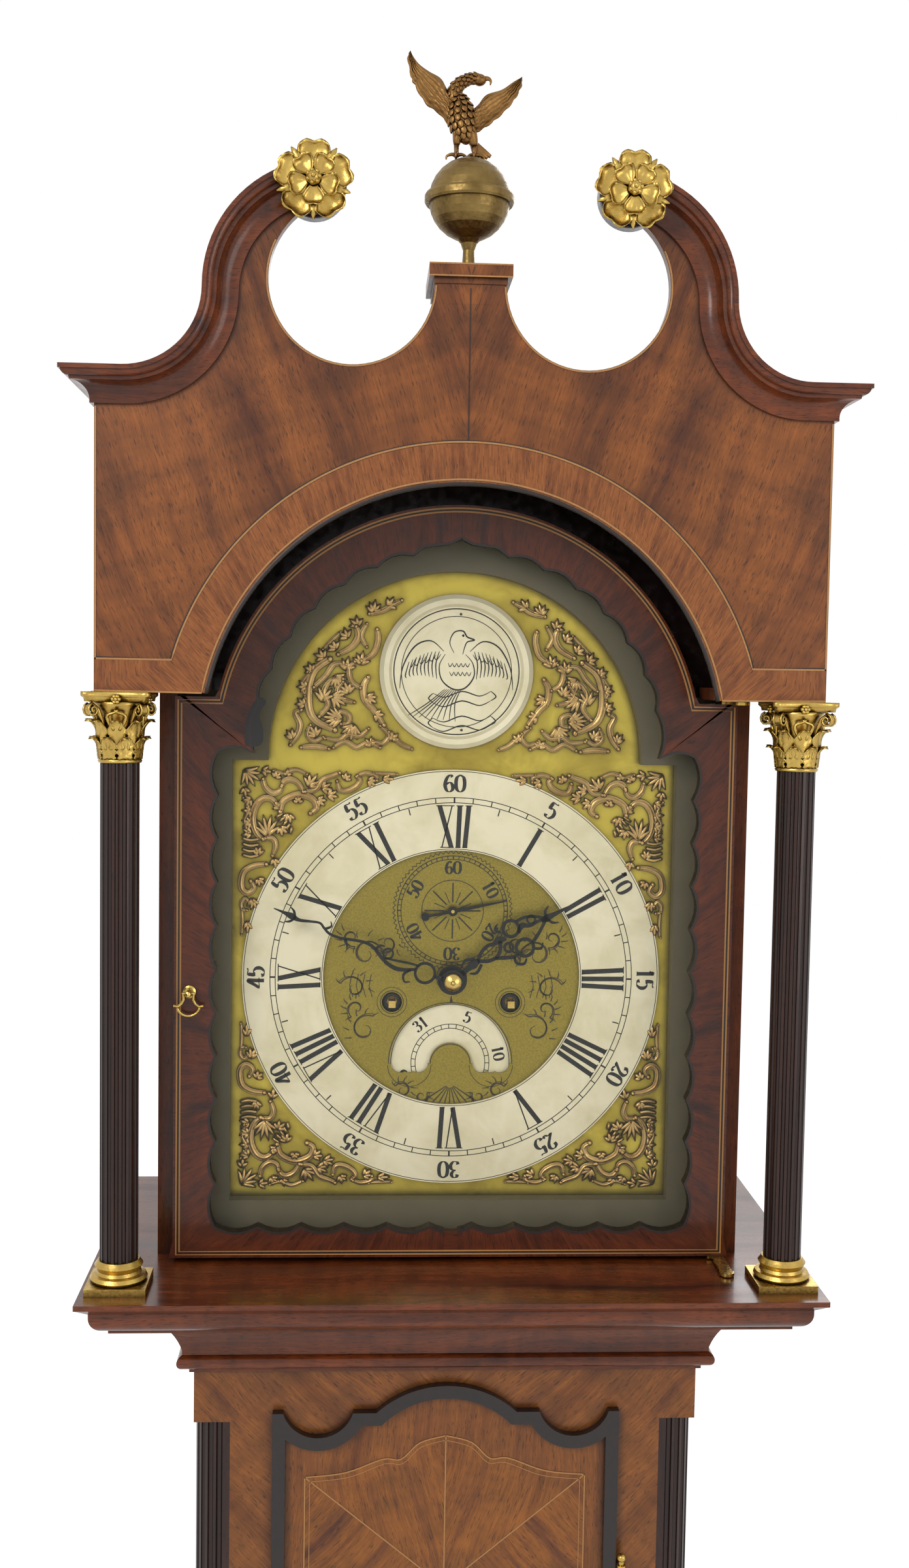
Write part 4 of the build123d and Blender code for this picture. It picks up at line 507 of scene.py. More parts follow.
def spiral(cx, cz, r0, r1, start, sweep, steps=22):
    """A scroll that winds from radius r0 to r1."""
    out = []
    for n in range(steps + 1):
        t = n / steps
        r = r0 * (r1 / r0) ** t
        a = math.radians(start + sweep * t)
        out.append((cx + r * math.cos(a), cz + r * math.sin(a)))
    return out


def lathe(heap, x, z, profile, steps=40):
    """A turned form on a fore-and-aft axis, from (radius, y) points."""
    points = []
    for r, y in profile:
        for k in range(steps):
            a = 2 * math.pi * k / steps
            points.append((x + r * math.cos(a), y, z + r * math.sin(a)))
    heap.take(points, ring_faces(len(profile), steps))


def turned_z(heap, x, y, profile, steps=40):
    """A turned form on an upright axis, from (radius, z) points."""
    points = []
    for r, z in profile:
        for k in range(steps):
            a = 2 * math.pi * k / steps
            points.append((x + r * math.cos(a), y + r * math.sin(a), z))
    heap.take(points, ring_faces(len(profile), steps))


# The nodes of the CAD that take each finish
NODES_OF = {
    "upright": "base_carcase trunk_sides hood_carcase",
    "across": "base_mouldings throat_moulding swan_neck_cornices hood_base_moulding",
    "oak": "backboard seatboard",
    "chevron": "trunk_front_frame",
    "fluting": "trunk_corner_columns column_shafts",
    "brass": (
        "trunk_hinge_pins movement_front_plate movement_back_plate movement_pillars suspension_cock "
        "hood_door_brasses hood_door_bail trunk_hinge_knuckles trunk_door_escutcheon pendulum_bob "
        "cannon_pinion minute_wheel hour_wheel going_great_wheel centre_wheel third_wheel escape_wheel "
        "strike_great_wheel strike_pin_wheel going_barrel strike_barrel going_weight strike_weight"),
    "dial": "dial_plate",
    "silver": "chapter_ring arch_boss date_disc",
    "spandrel": "dial_spandrels",
    "aged": "bell finial_ball",
    "figured": "hood_tympanum",
    "gilt": "rosettes column_capitals column_bases",
    "bronze": "eagle_finial",
    "mask": "dial_mask",
    "dark_across": "hood_door_frame",
    "glass": "hood_door_glass",
    "door_field": "trunk_door",
    "ebonised": "trunk_door_lip",
    "steel": "pendulum_rod anchor_and_crutch hammer",
    "blued": "minute_hand hour_hand seconds_hand",
    "gut": "going_line strike_line",
}
FINISH_OF = {node: finish for finish, nodes in NODES_OF.items() for node in nodes.split()}


class CLOCK_OT_finish(bpy.types.Operator):
    """Give every solid piece of the clock its own finish"""
    bl_idname = "clock.finish"
    bl_label = "Finishes"

    def execute(self, context):
        make_finishes()
        _, c = settings()
        FINISH["chevron"] = wood("figured mahogany, laid in chevrons", "#8F5522", "#5A2B11", mirror=True,
                                 turn=(0, math.pi / 4, 0), ripple=0.22, band=24)
        FINISH["door_field"] = wood("mahogany door ground", "#8C521F", "#58290F", turn=(0, QUARTER, 0), ripple=0.2)
        FINISH["mask"] = plain("pine mask, painted drab", "#5B5238", 0.5, 0.7, spread=0.12, grit=12)
        for node, finish in FINISH_OF.items():
            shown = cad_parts[node]
            shown.data.materials.clear()
            shown.data.materials.append(FINISH[finish])
        if len(FINISH_OF) != len(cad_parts):
            raise RuntimeError("a solid piece has no finish")
        return {"FINISHED"}


def inlay(name, lines, finish, body, y, width=None, depth=0.3):
    """Strings let into the veneer: one ribbon for each line of (x, z) points."""
    sizes, _ = settings()
    heap = Heap()
    for line in lines:
        ribbon(heap, line, width or sizes.string_width / MM, y, depth)
    return heap.piece(name, finish, body, smooth=False)


def both_sides(line):
    return [line, mirrored(-1, line)]


class CLOCK_OT_frieze(bpy.types.Operator):
    """Lay the crossbanding and strings of the hood's frieze and plinth"""
    bl_idname = "clock.frieze"
    bl_label = "Frieze veneers"

    def execute(self, context):
        sizes, _ = settings()
        proud = sizes.veneer / MM
        r_in, low = 168.0, SHOULDER + 46.0
        r_out = r_in + sizes.band_width / MM
        top = low + 20.0
        y = FRIEZE_Y - proud
        a_in = math.degrees(math.asin((low - ARCH_Z) / r_in))
        a_out = math.degrees(math.asin((top - ARCH_Z) / r_out))
        outer = arc(0, ARCH_Z, r_out, 180 - a_out, a_out, 96)
        inner = arc(0, ARCH_Z, r_in, 180 - a_in, a_in, 96)
        heap = Heap()
        # The arch band is laid in six lengths, so the figure breaks at each joint
        for n in range(6):
            cut = slice(n * 16, n * 16 + 17)
            band(heap, outer[cut], inner[cut], y, proud)
        corner_in, corner_out = inner[0], outer[0]
        for side in (-1, 1):
            bottom = [(side * FRIEZE_HALF, low + 0.2), (side * -corner_in[0], low + 0.2)]
            upper = [(side * FRIEZE_HALF, top), (side * -corner_out[0], top)]
            band(heap, upper, bottom, y, proud)
        heap.piece("frieze_crossbanding", "laid", "hood", smooth=False)
        rise = [(x, z + 0.3) for x, z in arc(0, ARCH_Z, r_out + 0.6, 180 - a_out, a_out, 96)]
        line_out = [(-FRIEZE_HALF, top + 0.6)] + rise + [(FRIEZE_HALF, top + 0.6)]
        rise = arc(0, ARCH_Z, r_in + 0.2, 180 - a_in, a_in, 96)
        line_in = [(-FRIEZE_HALF, low + 0.7)] + rise + [(FRIEZE_HALF, low + 0.7)]
        cut_line = arc(-74, SHOULDER + 303, 52.4, -2, -206, 60)
        edge = [(231.2, top), (231.2, SHOULDER + 222)]
        pale = [line_out, line_in] + both_sides(cut_line) + both_sides(edge)
        inlay("frieze_strings", pale, "box", "hood", y - 0.12, depth=0.4)
        rise = arc(0, ARCH_Z, r_out + 1.7, 180 - a_out, a_out, 96)
        dark_out = [(-FRIEZE_HALF, top + 1.7)] + rise + [(FRIEZE_HALF, top + 1.7)]
        inlay("frieze_dark_lines", [dark_out, [(0, SHOULDER + 206), (0, SHOULDER + 300)]], "black_line", "hood",
              y - 0.1, width=0.5, depth=0.35)
        bead = Heap()
        rim = [(x, FRIEZE_Y + 1.4, z) for x, z in arc(0, ARCH_Z, 165.8, 169, 11, 96)]
        tube(bead, rim, 1.7)
        bead.piece("arch_bead", "black_line", "hood")
        # The front veneer runs on to the cap over the joint in the board
        neck = Heap()
        flat_plate(neck, [(-12, SHOULDER + 290), (12, SHOULDER + 290), (12, SHOULDER + 302.4), (-12, SHOULDER + 302.4)],
                   FRIEZE_Y - 0.1, 3.0)
        neck.piece("neck_veneer", "figured", "hood", smooth=False)
        # Lining boards close the hood beside and over the door's arch
        lining = Heap()
        edge = ((150, 1897), (196, 1897), (196, 1905), (214, 1905), (214, 2050), (0, 2050), (0, 2020), (118, 1975))
        for side in (-1, 1):
            flat_plate(lining, mirrored(side, edge), -29.0, 2.0)
        lining.piece("hood_lining_boards", "ebonised", "hood", smooth=False)
        plinth = Heap()
        for z in (SHOULDER + 306.6, SHOULDER + 314.0):
            ribbon(plinth, [(-25.9, z), (25.9, z)], 0.9, FRIEZE_Y - 4.15, 0.3)
        plinth.piece("plinth_strings", "box", "hood", smooth=False)
        return {"FINISHED"}


def sight_line():
    """The scalloped inner edge of the hood door, clockwise from the bottom left corner, as in the solid."""
    half, bottom, top = SIGHT_HALF, SIGHT_LOW, SHOULDER + 7.0
    ring_r, ring_z, lobes = 137.5, SHOULDER + 5.0, 11
    right = [(half * (2 * n / lobes - 1), bottom) for n in range(lobes + 1)]
    right = [p for p in right if p[0] > 0]
    right += [(half, bottom + (top - bottom) * n / lobes) for n in range(1, lobes + 1)]
    right.append((136.0, top - 1))
    for n in range(7):
        a = math.radians(14 + n * 62.6 / 6)
        right.append((ring_r * math.cos(a), ring_z + ring_r * math.sin(a)))
    line = [(-right[0][0], bottom)]
    for p, q in zip([line[0]] + right, right):
        dx, dz = q[0] - p[0], q[1] - p[1]
        long = math.hypot(dx, dz)
        out = 4.2 * min(1.0, long / 28.0)
        for k in range(1, 7):
            t = k / 6
            lift = 4 * out * t * (1 - t)
            line.append((p[0] + dx * t + lift * dz / long, p[1] + dz * t - lift * dx / long))
    last = right[-1]
    peak = (0.0, ring_z + ring_r + 8.0)
    mid = ((last[0] + peak[0]) / 2, (last[1] + peak[1]) / 2 + 1.0)
    line += [(last[0] * 0.5 + mid[0] * 0.5 + 0.6, (last[1] + mid[1]) / 2 + 2.2), mid,
             (mid[0] / 2 - 0.4, (mid[1] + peak[1]) / 2 - 1.4), peak]
    return line[4:]


def door_edge(inset):
    """The hood door's outline from its bottom middle, up the right side to the crown, set in by a margin."""
    half, low, top, r = DOOR_HALF - inset, DOOR_LOW + inset, DOOR_TOP - inset, DOOR_ARCH_R - inset
    start = math.degrees(math.asin((top - DOOR_ARCH_Z) / r))
    return [(0, low), (half, low), (half, top)] + arc(0, DOOR_ARCH_Z, r, start, 90, 40)


class CLOCK_OT_hood_door(bpy.types.Operator):
    """Lay the hood door's crossbanding, strings and black scalloped edge"""
    bl_idname = "clock.hood_door"
    bl_label = "Hood door veneers"

    def execute(self, context):
        sizes, _ = settings()
        proud = sizes.veneer / MM
        inner = sight_line()
        outer = []
        for x, z in inner:
            if z > SHOULDER + 35:
                a = math.atan2(z - SHOULDER - 5, x)
                a = min(a, QUARTER) if x > 0.01 else QUARTER
                outer.append((DOOR_ARCH_R * math.cos(a), DOOR_ARCH_Z + DOOR_ARCH_R * math.sin(a)))
            elif z > SHOULDER + 2:
                share = (z - SHOULDER - 2) / 33
                outer.append((DOOR_HALF - 28 * share, DOOR_TOP))
            elif z > SIGHT_LOW + 6:
                outer.append((DOOR_HALF, DOOR_LOW + (z - SIGHT_LOW) * (379 / 322)))
            else:
                outer.append((x * DOOR_HALF / SIGHT_HALF, DOOR_LOW))
        y = DOOR_Y - proud
        heap = Heap()
        for side in (1, -1):
            band(heap, mirrored(side, outer), mirrored(side, inner), y, proud)
        heap.piece("hood_door_crossbanding", "laid_dark", "hood_door", smooth=False)
        for name, finish, inset in (("outer_string", "box", 2.2), ("dark_string", "black_line", 3.3),
                                    ("inner_string", "box", 4.4)):
            inlay("hood_door_" + name, both_sides(door_edge(inset)), finish, "hood_door", y - 0.1, depth=0.3)
        edge = Heap()
        for side in (1, -1):
            ribbon(edge, mirrored(side, inner), 1.5, y - 0.2, 9.0)
        edge.piece("hood_door_sight_edge", "black_line", "hood_door", smooth=False)
        # Old damage: lost veneer at the foot of the arch, made good with black stopping
        patch = Heap()
        spots = [(-141, 1861), (-131, 1862), (-130, 1872), (-132.5, 1882), (-128, 1890), (-133, 1893), (-139, 1884),
                 (-141.5, 1873)]
        flat_plate(patch, smooth_flat(spots, 4, True)[:-1], y - 0.15, 0.2)
        patch.piece("hood_door_stopping", "filler", "hood_door", smooth=False)
        return {"FINISHED"}


class CLOCK_OT_trunk(bpy.types.Operator):
    """Lay the quartered veneers and strings of the trunk door, and the strings of the base panel"""
    bl_idname = "clock.trunk"
    bl_label = "Trunk and base veneers"

    def execute(self, context):
        sizes, _ = settings()
        proud = sizes.veneer / MM
        y = TRUNK_Y - 0.3 - proud
        half, top, low = 98.0, SHOULDER - 499.0, 677.0
        drop = 80.0
        crown = [(-half, top), (-70, top + 3), (-44, top + 12.4), (-31, top + 12.4), (-18, top + 24), (0, top + 29)]
        crown = smooth_flat(crown, 5)
        heap = Heap()
        flat_plate(heap, crown + [(0, top - drop)], y, proud, 106)
        flat_plate(heap, [(-x, z) for x, z in crown] + [(0, top - drop)], y, proud, 74)
        for side in (-1, 1):
            flat_plate(heap, [(side * half, top), (0, top - drop), (0, low + drop), (side * half, low)], y, proud,
                       -side * 48)
            flat_plate(heap, [(side * half, low), (0, low + drop), (0, low)], y, proud, 90 + side * 14)
        heap.piece("trunk_door_veneers", "trunk_veneer", "trunk_door", smooth=False)
        lines = both_sides(crown) + both_sides([(-half, top), (-half, low), (0, low)])
        lines += both_sides([(-half, top), (0, top - drop)]) + both_sides([(-half, low), (0, low + drop)])
        lines += [[(0, top + 29), (0, low)]]
        inlay("trunk_door_strings", lines, "box", "trunk_door", y - 0.12, width=0.9)
        inner = [[(x * 0.965, z - 3.2) for x, z in crown], [(-half + 3.4, top - 4), (-half + 3.4, low + 3.4),
                                                            (0, low + 3.4)]]
        inlay("trunk_door_fine_strings", [side for line in inner for side in both_sides(line)], "box", "trunk_door",
              y - 0.12, width=0.45)
        panel = [(-165, 146), (165, 146), (165, 512), (-165, 512), (-165, 146)]
        small = [(-162, 149), (162, 149), (162, 509), (-162, 509), (-162, 149)]
        inlay("base_panel_strings", [panel, small], "box", "case", BASE_Y - 4.25, width=0.9)
        return {"FINISHED"}


# Numerals are drawn with a broad pen: upright strokes thick, level strokes thin
DIGITS = {
    "0": [[(0.3, 1), (0.1, 0.85), (0.04, 0.5), (0.1, 0.15), (0.3, 0), (0.5, 0.15), (0.56, 0.5), (0.5, 0.85),
           (0.3, 1)]],
    "1": [[(0.14, 0.78), (0.24, 0.84), (0.3, 1), (0.3, 0.5), (0.3, 0)], [(0.16, 0), (0.44, 0)]],
    "2": [[(0.1, 0.68), (0.07, 0.86), (0.28, 1), (0.48, 0.86), (0.44, 0.6), (0.22, 0.3), (0.05, 0.06), (0.24, 0.12),
           (0.44, 0.02), (0.56, 0.16)]],
    "3": [[(0.1, 0.8), (0.16, 0.95), (0.34, 0.98), (0.46, 0.8), (0.36, 0.6), (0.24, 0.55), (0.44, 0.48), (0.52, 0.26),
           (0.36, 0.02), (0.14, 0.03), (0.07, 0.18)]],
    "4": [[(0.42, 0), (0.42, 0.5), (0.42, 1), (0.2, 0.62), (0.03, 0.3), (0.3, 0.3), (0.6, 0.3)]],
    "5": [[(0.5, 1), (0.36, 0.95), (0.16, 0.96), (0.12, 0.56), (0.32, 0.63), (0.5, 0.46), (0.5, 0.2), (0.32, 0),
           (0.12, 0.03), (0.07, 0.17)]],
    "6": [[(0.48, 0.88), (0.36, 1), (0.16, 0.82), (0.05, 0.42), (0.14, 0.1), (0.32, 0), (0.5, 0.14), (0.5, 0.38),
           (0.34, 0.56), (0.12, 0.44)]],
    "7": [[(0.06, 0.86), (0.12, 0.97), (0.34, 0.93), (0.54, 1), (0.34, 0.55), (0.24, 0)]],
    "8": [[(0.3, 0.54), (0.12, 0.72), (0.18, 0.94), (0.32, 1), (0.46, 0.9), (0.46, 0.7), (0.3, 0.54), (0.1, 0.34),
           (0.08, 0.14), (0.3, 0), (0.52, 0.14), (0.5, 0.36), (0.3, 0.54)]],
    "9": [[(0.12, 0.12), (0.24, 0), (0.44, 0.18), (0.55, 0.58), (0.46, 0.9), (0.28, 1), (0.1, 0.86), (0.1, 0.62),
           (0.26, 0.44), (0.48, 0.56)]],
}


def write(heap, text, cx, cz, angle, radius, height, y, weight=0.17):
    """Writes numerals round a centre, upright at angle degrees past twelve and read from outside the ring."""
    a = math.radians(angle)
    across, outward = (math.cos(a), -math.sin(a)), (math.sin(a), math.cos(a))
    pitch = 0.66
    for n, digit in enumerate(text):
        shift = (n - (len(text) - 1) / 2) * pitch * height
        for stroke in DIGITS[digit]:
            dots = smooth_flat(stroke, 5)
            widths, line = [], []
            for k, (u, v) in enumerate(dots):
                nu, nv = dots[min(k + 1, len(dots) - 1)]
                pu, pv = dots[max(k - 1, 0)]
                run = math.hypot(nu - pu, nv - pv) or 1
                widths.append(height * (0.05 + weight * (abs(nv - pv) / run) ** 1.6))
                s, t = shift + (u - 0.3) * height, radius + (v - 0.5) * height
                line.append((cx + s * across[0] + t * outward[0], cz + s * across[1] + t * outward[1]))
            ribbon(heap, line, widths, y)


def ring_line(heap, cx, cz, r, width, y, steps=180):
    ribbon(heap, arc(cx, cz, r, 0, 360, steps), width, y)


def tick(heap, cx, cz, angle, r0, r1, width, y):
    a = math.radians(angle)
    ribbon(heap, [(cx + r * math.sin(a), cz + r * math.cos(a)) for r in (r0, r1)], width, y)


ROMAN = {1: "I", 2: "II", 3: "III", 4: "IIII", 5: "V", 6: "VI", 7: "VII", 8: "VIII", 9: "IX", 10: "X", 11: "XI",
         12: "XII"}


def roman(heap, hour, y, height):
    """One hour numeral, its feet towards the centre."""
    r0 = 91.5
    thick, thin, gap = 3.3, 0.9, 1.6
    wide = {"I": 3.9, "V": 10.6, "X": 10.6}
    a = math.radians(30 * hour)
    across, outward = (math.cos(a), -math.sin(a)), (math.sin(a), math.cos(a))

    def at(s, t):
        # Numerals widen with the ring
        s *= 0.86 + 0.28 * t
        return (s * across[0] + (r0 + t * height) * outward[0],
                CENTRE_Z + s * across[1] + (r0 + t * height) * outward[1])

    total = sum(wide[c] for c in ROMAN[hour]) + gap * (len(ROMAN[hour]) - 1)
    s = -total / 2
    for letter in ROMAN[hour]:
        w = wide[letter]
        m = s + w / 2
        if letter == "I":
            strokes = [((m, 0), (m, 1), thick)]
        elif letter == "V":
            strokes = [((m + 0.4, 0), (s + 1.8, 1), thick), ((m + 0.4, 0), (s + w - 0.8, 1), thin)]
        else:
            strokes = [((s + w - 1.8, 0), (s + 1.8, 1), thick), ((s + 1.2, 0), (s + w - 1.2, 1), thin)]
        for p, q, width in strokes:
            ribbon(heap, [at(*p), at(*q)], width, y)
        for t in (0, 1):
            if letter != "V" or t:
                ribbon(heap, [at(s - 0.2, t), at(s + w + 0.2, t)], 0.65, y)
        s += w + gap


class CLOCK_OT_dial(bpy.types.Operator):
    """Engrave the chapter ring, seconds dial, date disc, dial centre and arch boss"""
    bl_idname = "clock.dial"
    bl_label = "Dial engraving"

    def execute(self, context):
        sizes, _ = settings()
        y = DIAL_Y - 1.9
        heap = Heap()
        for hour in ROMAN:
            roman(heap, hour, y, sizes.numeral_height / MM)
            write(heap, str(hour * 5), 0, CENTRE_Z, 30 * hour, 136.0, 11.6, y)
        for r, w in ((MINUTE_IN, 0.55), (MINUTE_OUT, 0.55), (90.4, 0.45), (144.4, 0.45)):
            ring_line(heap, 0, CENTRE_Z, r, w, y)
        for n in range(60):
            tick(heap, 0, CENTRE_Z, 6 * n, MINUTE_IN, MINUTE_OUT, 1.2 if n % 5 == 0 else 0.7, y)
        for n in range(12):
            tick(heap, 0, CENTRE_Z, 30 * n + 15, 117.5, 122.0, 0.8, y)
        heap.piece("chapter_ring_engraving", "wax", "case", smooth=False)
        self.seconds()
        self.date()
        self.centre()
        self.boss()
        return {"FINISHED"}

    def seconds(self):
        y = DIAL_Y - 0.1
        heap = Heap()
        for n in range(6):
            write(heap, str((n or 6) * 10), 0, SECONDS_Z, 60 * n, 30.3, 8.6, y, 0.17)
        for r, w in ((SECONDS_OUT, 0.55), (SECONDS_IN, 0.45), (21.5, 0.45)):
            ring_line(heap, 0, SECONDS_Z, r, w, y, 96)
        for n in range(60):
            tick(heap, 0, SECONDS_Z, 6 * n, SECONDS_IN, SECONDS_OUT, 0.8 if n % 5 == 0 else 0.5, y)
        # Serrated border
        for n in range(72):
            tooth = ((40.0, 5.0 * n), (41.8, 5.0 * n + 2.5), (40.0, 5.0 * n + 5))
            ribbon(heap, [(r * math.sin(math.radians(a)), SECONDS_Z + r * math.cos(math.radians(a)))
                          for r, a in tooth], 0.5, y)
        for n in range(16):
            tick(heap, 0, SECONDS_Z, 22.5 * n, 6, 19.5 if n % 2 == 0 else 14, 0.9 if n % 2 == 0 else 0.5, y)
        heap.piece("seconds_engraving", "wax", "case", smooth=False)

    def date(self):
        heap = Heap()
        y = DIAL_Y + 2.9
        for day in (5, 10, 15, 20, 25, 31):
            write(heap, str(day), 0, DATE_Z, DATE_SHIFT + (day % 31 - 5) * 360 / 31, 34.6, 7.8, y, 0.17)
        for r in (24.5, 27.5, 41.6):
            ring_line(heap, 0, DATE_Z, r, 0.5, y, 96)
        for n in range(31):
            tick(heap, 0, DATE_Z, DATE_SHIFT + n * 360 / 31, 24.5, 27.5, 0.55, y)
        heap.piece("date_disc_engraving", "wax", "date_disc", smooth=False)
        rim = Heap()
        ribbon(rim, arc(0, DATE_Z, 43.4, 0, 180, 60), 0.5, DIAL_Y - 0.1)
        ribbon(rim, arc(0, DATE_Z, 14.0, 0, 180, 30), 0.5, DIAL_Y - 0.1)
        for x in (-28.6, 28.6):
            ribbon(rim, arc(x, DATE_Z - 1, 15.2, 180, 360, 24), 0.35, DIAL_Y - 0.1)
        tick(rim, 0, DATE_Z, 0, 43.4, 48.5, [2.2, 0.2], DIAL_Y - 0.12)
        rim.piece("date_aperture_line", "wax", "case", smooth=False)

    def centre(self):
        """Rococo scrolls cut in the dial centre: C-scrolls, husks and a shell below."""
        heap = Heap()
        y = DIAL_Y - 0.1
        for side in (-1, 1):
            scrolls = [(60, 16, 13, 3, 200, -430), (68, -8, 10, 2.4, 20, 400), (60, -37, 11, 3, 120, -380),
                       (33, -80, 6, 2, 30, 400), (70, 28, 7, 1.8, 250, 380), (45, 24, 8, 2, 330, -360),
                       (20, -84, 4.6, 1.6, 150, 380), (66, -22, 7, 1.8, 300, 360)]
            for cx, dz, r0, r1, start, sweep in scrolls:
                line = spiral(cx, CENTRE_Z + dz, r0, r1, start, sweep)
                line = mirrored(side, line)
                taper = [0.35 + 0.9 * math.sin(math.pi * min(1, 0.15 + k / len(line))) for k in range(len(line))]
                ribbon(heap, line, taper, y)
                outer = mirrored(side, spiral(cx, CENTRE_Z + dz, r0 + 1.6, r1 + 1.2, start, sweep * 0.6))
                ribbon(heap, outer, 0.45, y)
                # Leaf cuts springing from each scroll
                for k in range(6):
                    a = math.radians(start + sweep * 0.08 * k)
                    p = (cx + r0 * math.cos(a), CENTRE_Z + dz + r0 * math.sin(a))
                    q = (p[0] + 5 * math.cos(a + 0.5), p[1] + 5 * math.sin(a + 0.5))
                    ribbon(heap, [(side * p[0], p[1]), (side * (p[0] + q[0]) / 2 + side * 0.6, (p[1] + q[1]) / 2),
                                  (side * q[0], q[1])], [0.9, 0.7, 0.25], y)
            # Short hanging strokes beside the winding holes
            for k in range(4):
                x = 56 + 4.5 * k
                ribbon(heap, [(side * x, CENTRE_Z + 2), (side * (x + 1.5), CENTRE_Z - 6),
                              (side * (x - 0.8), CENTRE_Z - 14)], 0.55, y)
        for k in range(9):
            a = math.radians(-90 + (k - 4) * 14)
            ribbon(heap, [(3 * math.cos(a), DATE_Z - 14 + 3 * math.sin(a)),
                          (19 * math.cos(a), DATE_Z - 14 + 19 * math.sin(a))], [0.5, 1.1], y)
        for k in range(8):
            mid = -90 + (k - 3.5) * 14
            a = math.radians(mid)
            ribbon(heap, arc(19 * math.cos(a), DATE_Z - 14 + 19 * math.sin(a), 2.4, mid - 90, mid + 90, 8), 0.7, y)
        for x in (-WINDING_X, WINDING_X):
            for r, w in ((8.0, 0.5), (10.4, 0.35)):
                ring_line(heap, x, WINDING_Z, r, w, y, 48)
        ring_line(heap, 0, CENTRE_Z, 10.5, 0.4, y, 60)
        heap.piece("dial_centre_engraving", "engraved", "case", smooth=False)
        # Painted shade: black walls inside each winding hole and a black ring behind it, where the hole lies in shade
        hole_shade = Heap()
        for x in (-WINDING_X, WINDING_X):
            lathe(hole_shade, x, WINDING_Z, [(7.0, DIAL_Y - 0.05), (6.9, DIAL_Y + 1.8), (7.0, DIAL_Y + 1.9)])
            lathe(hole_shade, x, WINDING_Z, [(3.7, DIAL_Y + 2.1), (7.6, DIAL_Y + 2.1), (7.6, DIAL_Y + 2.5),
                                      (3.7, DIAL_Y + 2.5), (3.7, DIAL_Y + 2.1)])
        hole_shade.piece("winding_hole_shade_walls", "wax", "case")

    def boss(self):
        """A bird with spread wings, holding a plain ribbon, cut in the silvered disc."""
        heap = Heap()
        y = -17.75

        def cut(line, w=0.4, steps=5):
            dots = smooth_flat(line, steps)
            count = len(dots)
            ribbon(heap, [(px, BOSS_Z + pz) for px, pz in dots],
                   [w * (0.6 + 1.5 * math.sin(math.pi * (k + 0.5) / count)) for k in range(count)], y)

        for side in (-1, 1):
            cut([(side * 9, 14), (side * 18, 21), (side * 29, 17), (side * 37, 3), (side * 39, -12)], 0.5)
            for k in range(9):
                x0, z0 = 12 + 2.6 * k, 17 - 0.12 * k * k
                cut([(side * x0, z0 - 3), (side * (x0 + 2.4), z0 - 12), (side * (x0 + 1.6), z0 - 22 + k)], 0.38)
            for k in range(6):
                cut([(side * (11 + 3.4 * k), 12 - 0.6 * k), (side * (14 + 3.4 * k), 8 - k),
                     (side * (16 + 3.2 * k), 11 - 1.5 * k)], 0.3)
        cut([(-8, 12), (-12, 4), (-10, -6), (-2, -12), (6, -11), (12, -3), (11, 6), (6, 12)], 0.5)
        cut([(-2, 13), (-5, 20), (-2, 27), (4, 28), (7, 24), (12, 22), (7, 20.5), (5, 16), (4, 12)], 0.5)
        cut([(3.4, 25), (4.4, 25.4), (4.2, 24.4), (3.4, 25)], 0.5)
        # Breast feathers
        for k in range(5):
            cut([(-6 + 3 * k, 6), (-4.6 + 3 * k, 3.4), (-3 + 3 * k, 6)], 0.28)
            cut([(-5 + 3 * k, 0), (-3.4 + 3 * k, -2.6), (-2 + 3 * k, 0)], 0.28)
        for k in range(9):
            cut([(-8 + 1.4 * k, -12), (-20 + 2.4 * k, -22), (-34 + 4.2 * k, -31 - 0.4 * k)], 0.34)
        # Two plain ribbons
        for z0 in (-15, -32):
            for dz in (0, -6.5):
                cut([(-16, z0 + dz), (-8, z0 - 2.6 + dz), (4, z0 + 1.6 + dz), (16, z0 - 1.4 + dz),
                     (24, z0 + 2 + dz)], 0.42)
            cut([(-16, z0), (-19, z0 - 3.4), (-16, z0 - 6.5)], 0.42)
            cut([(24, z0 + 2), (27.5, z0 - 1.6), (24, z0 - 4.5)], 0.42)
        ring_line(heap, 0, BOSS_Z, 43.2, 0.8, y, 96)
        ring_line(heap, 0, BOSS_Z, 38.0, 0.5, y, 96)
        heap.points = [(px, -17.78 + math.hypot(px, pz - BOSS_Z) / 44.5, pz) for px, _, pz in heap.points]
        heap.piece("boss_engraving", "wax", "case", smooth=False)
        rivets = Heap()
        for x in (2.4, 4.0):
            blob(rivets, (x, DIAL_Y - 2.1, BOSS_Z + (39.5 if x < 3 else -40.0)), (0.9, 0.7, 0.9), 6, 10)
        rivets.piece("boss_rivets", "engraved", "case")


def leaf_spray(heap, x, z, angle, long, count, y, spread=70, thick=1.3):
    """Acanthus tips fanning out of one point."""
    for k in range(count):
        a = math.radians(angle + spread * (k / max(count - 1, 1) - 0.5))
        bend = 0.55 * (k / max(count - 1, 1) - 0.5)
        size = long * (1 - 0.25 * abs(k / max(count - 1, 1) - 0.5) * 2)
        line = [(x + size * t * math.cos(a + bend * t), y - 0.7 * math.sin(math.pi * t),
                 z + size * t * math.sin(a + bend * t)) for t in (0, 0.25, 0.5, 0.75, 1)]
        tube(heap, line, [thick * 0.7, thick, thick * 1.05, thick * 0.8, thick * 0.2], 6, 0.7)


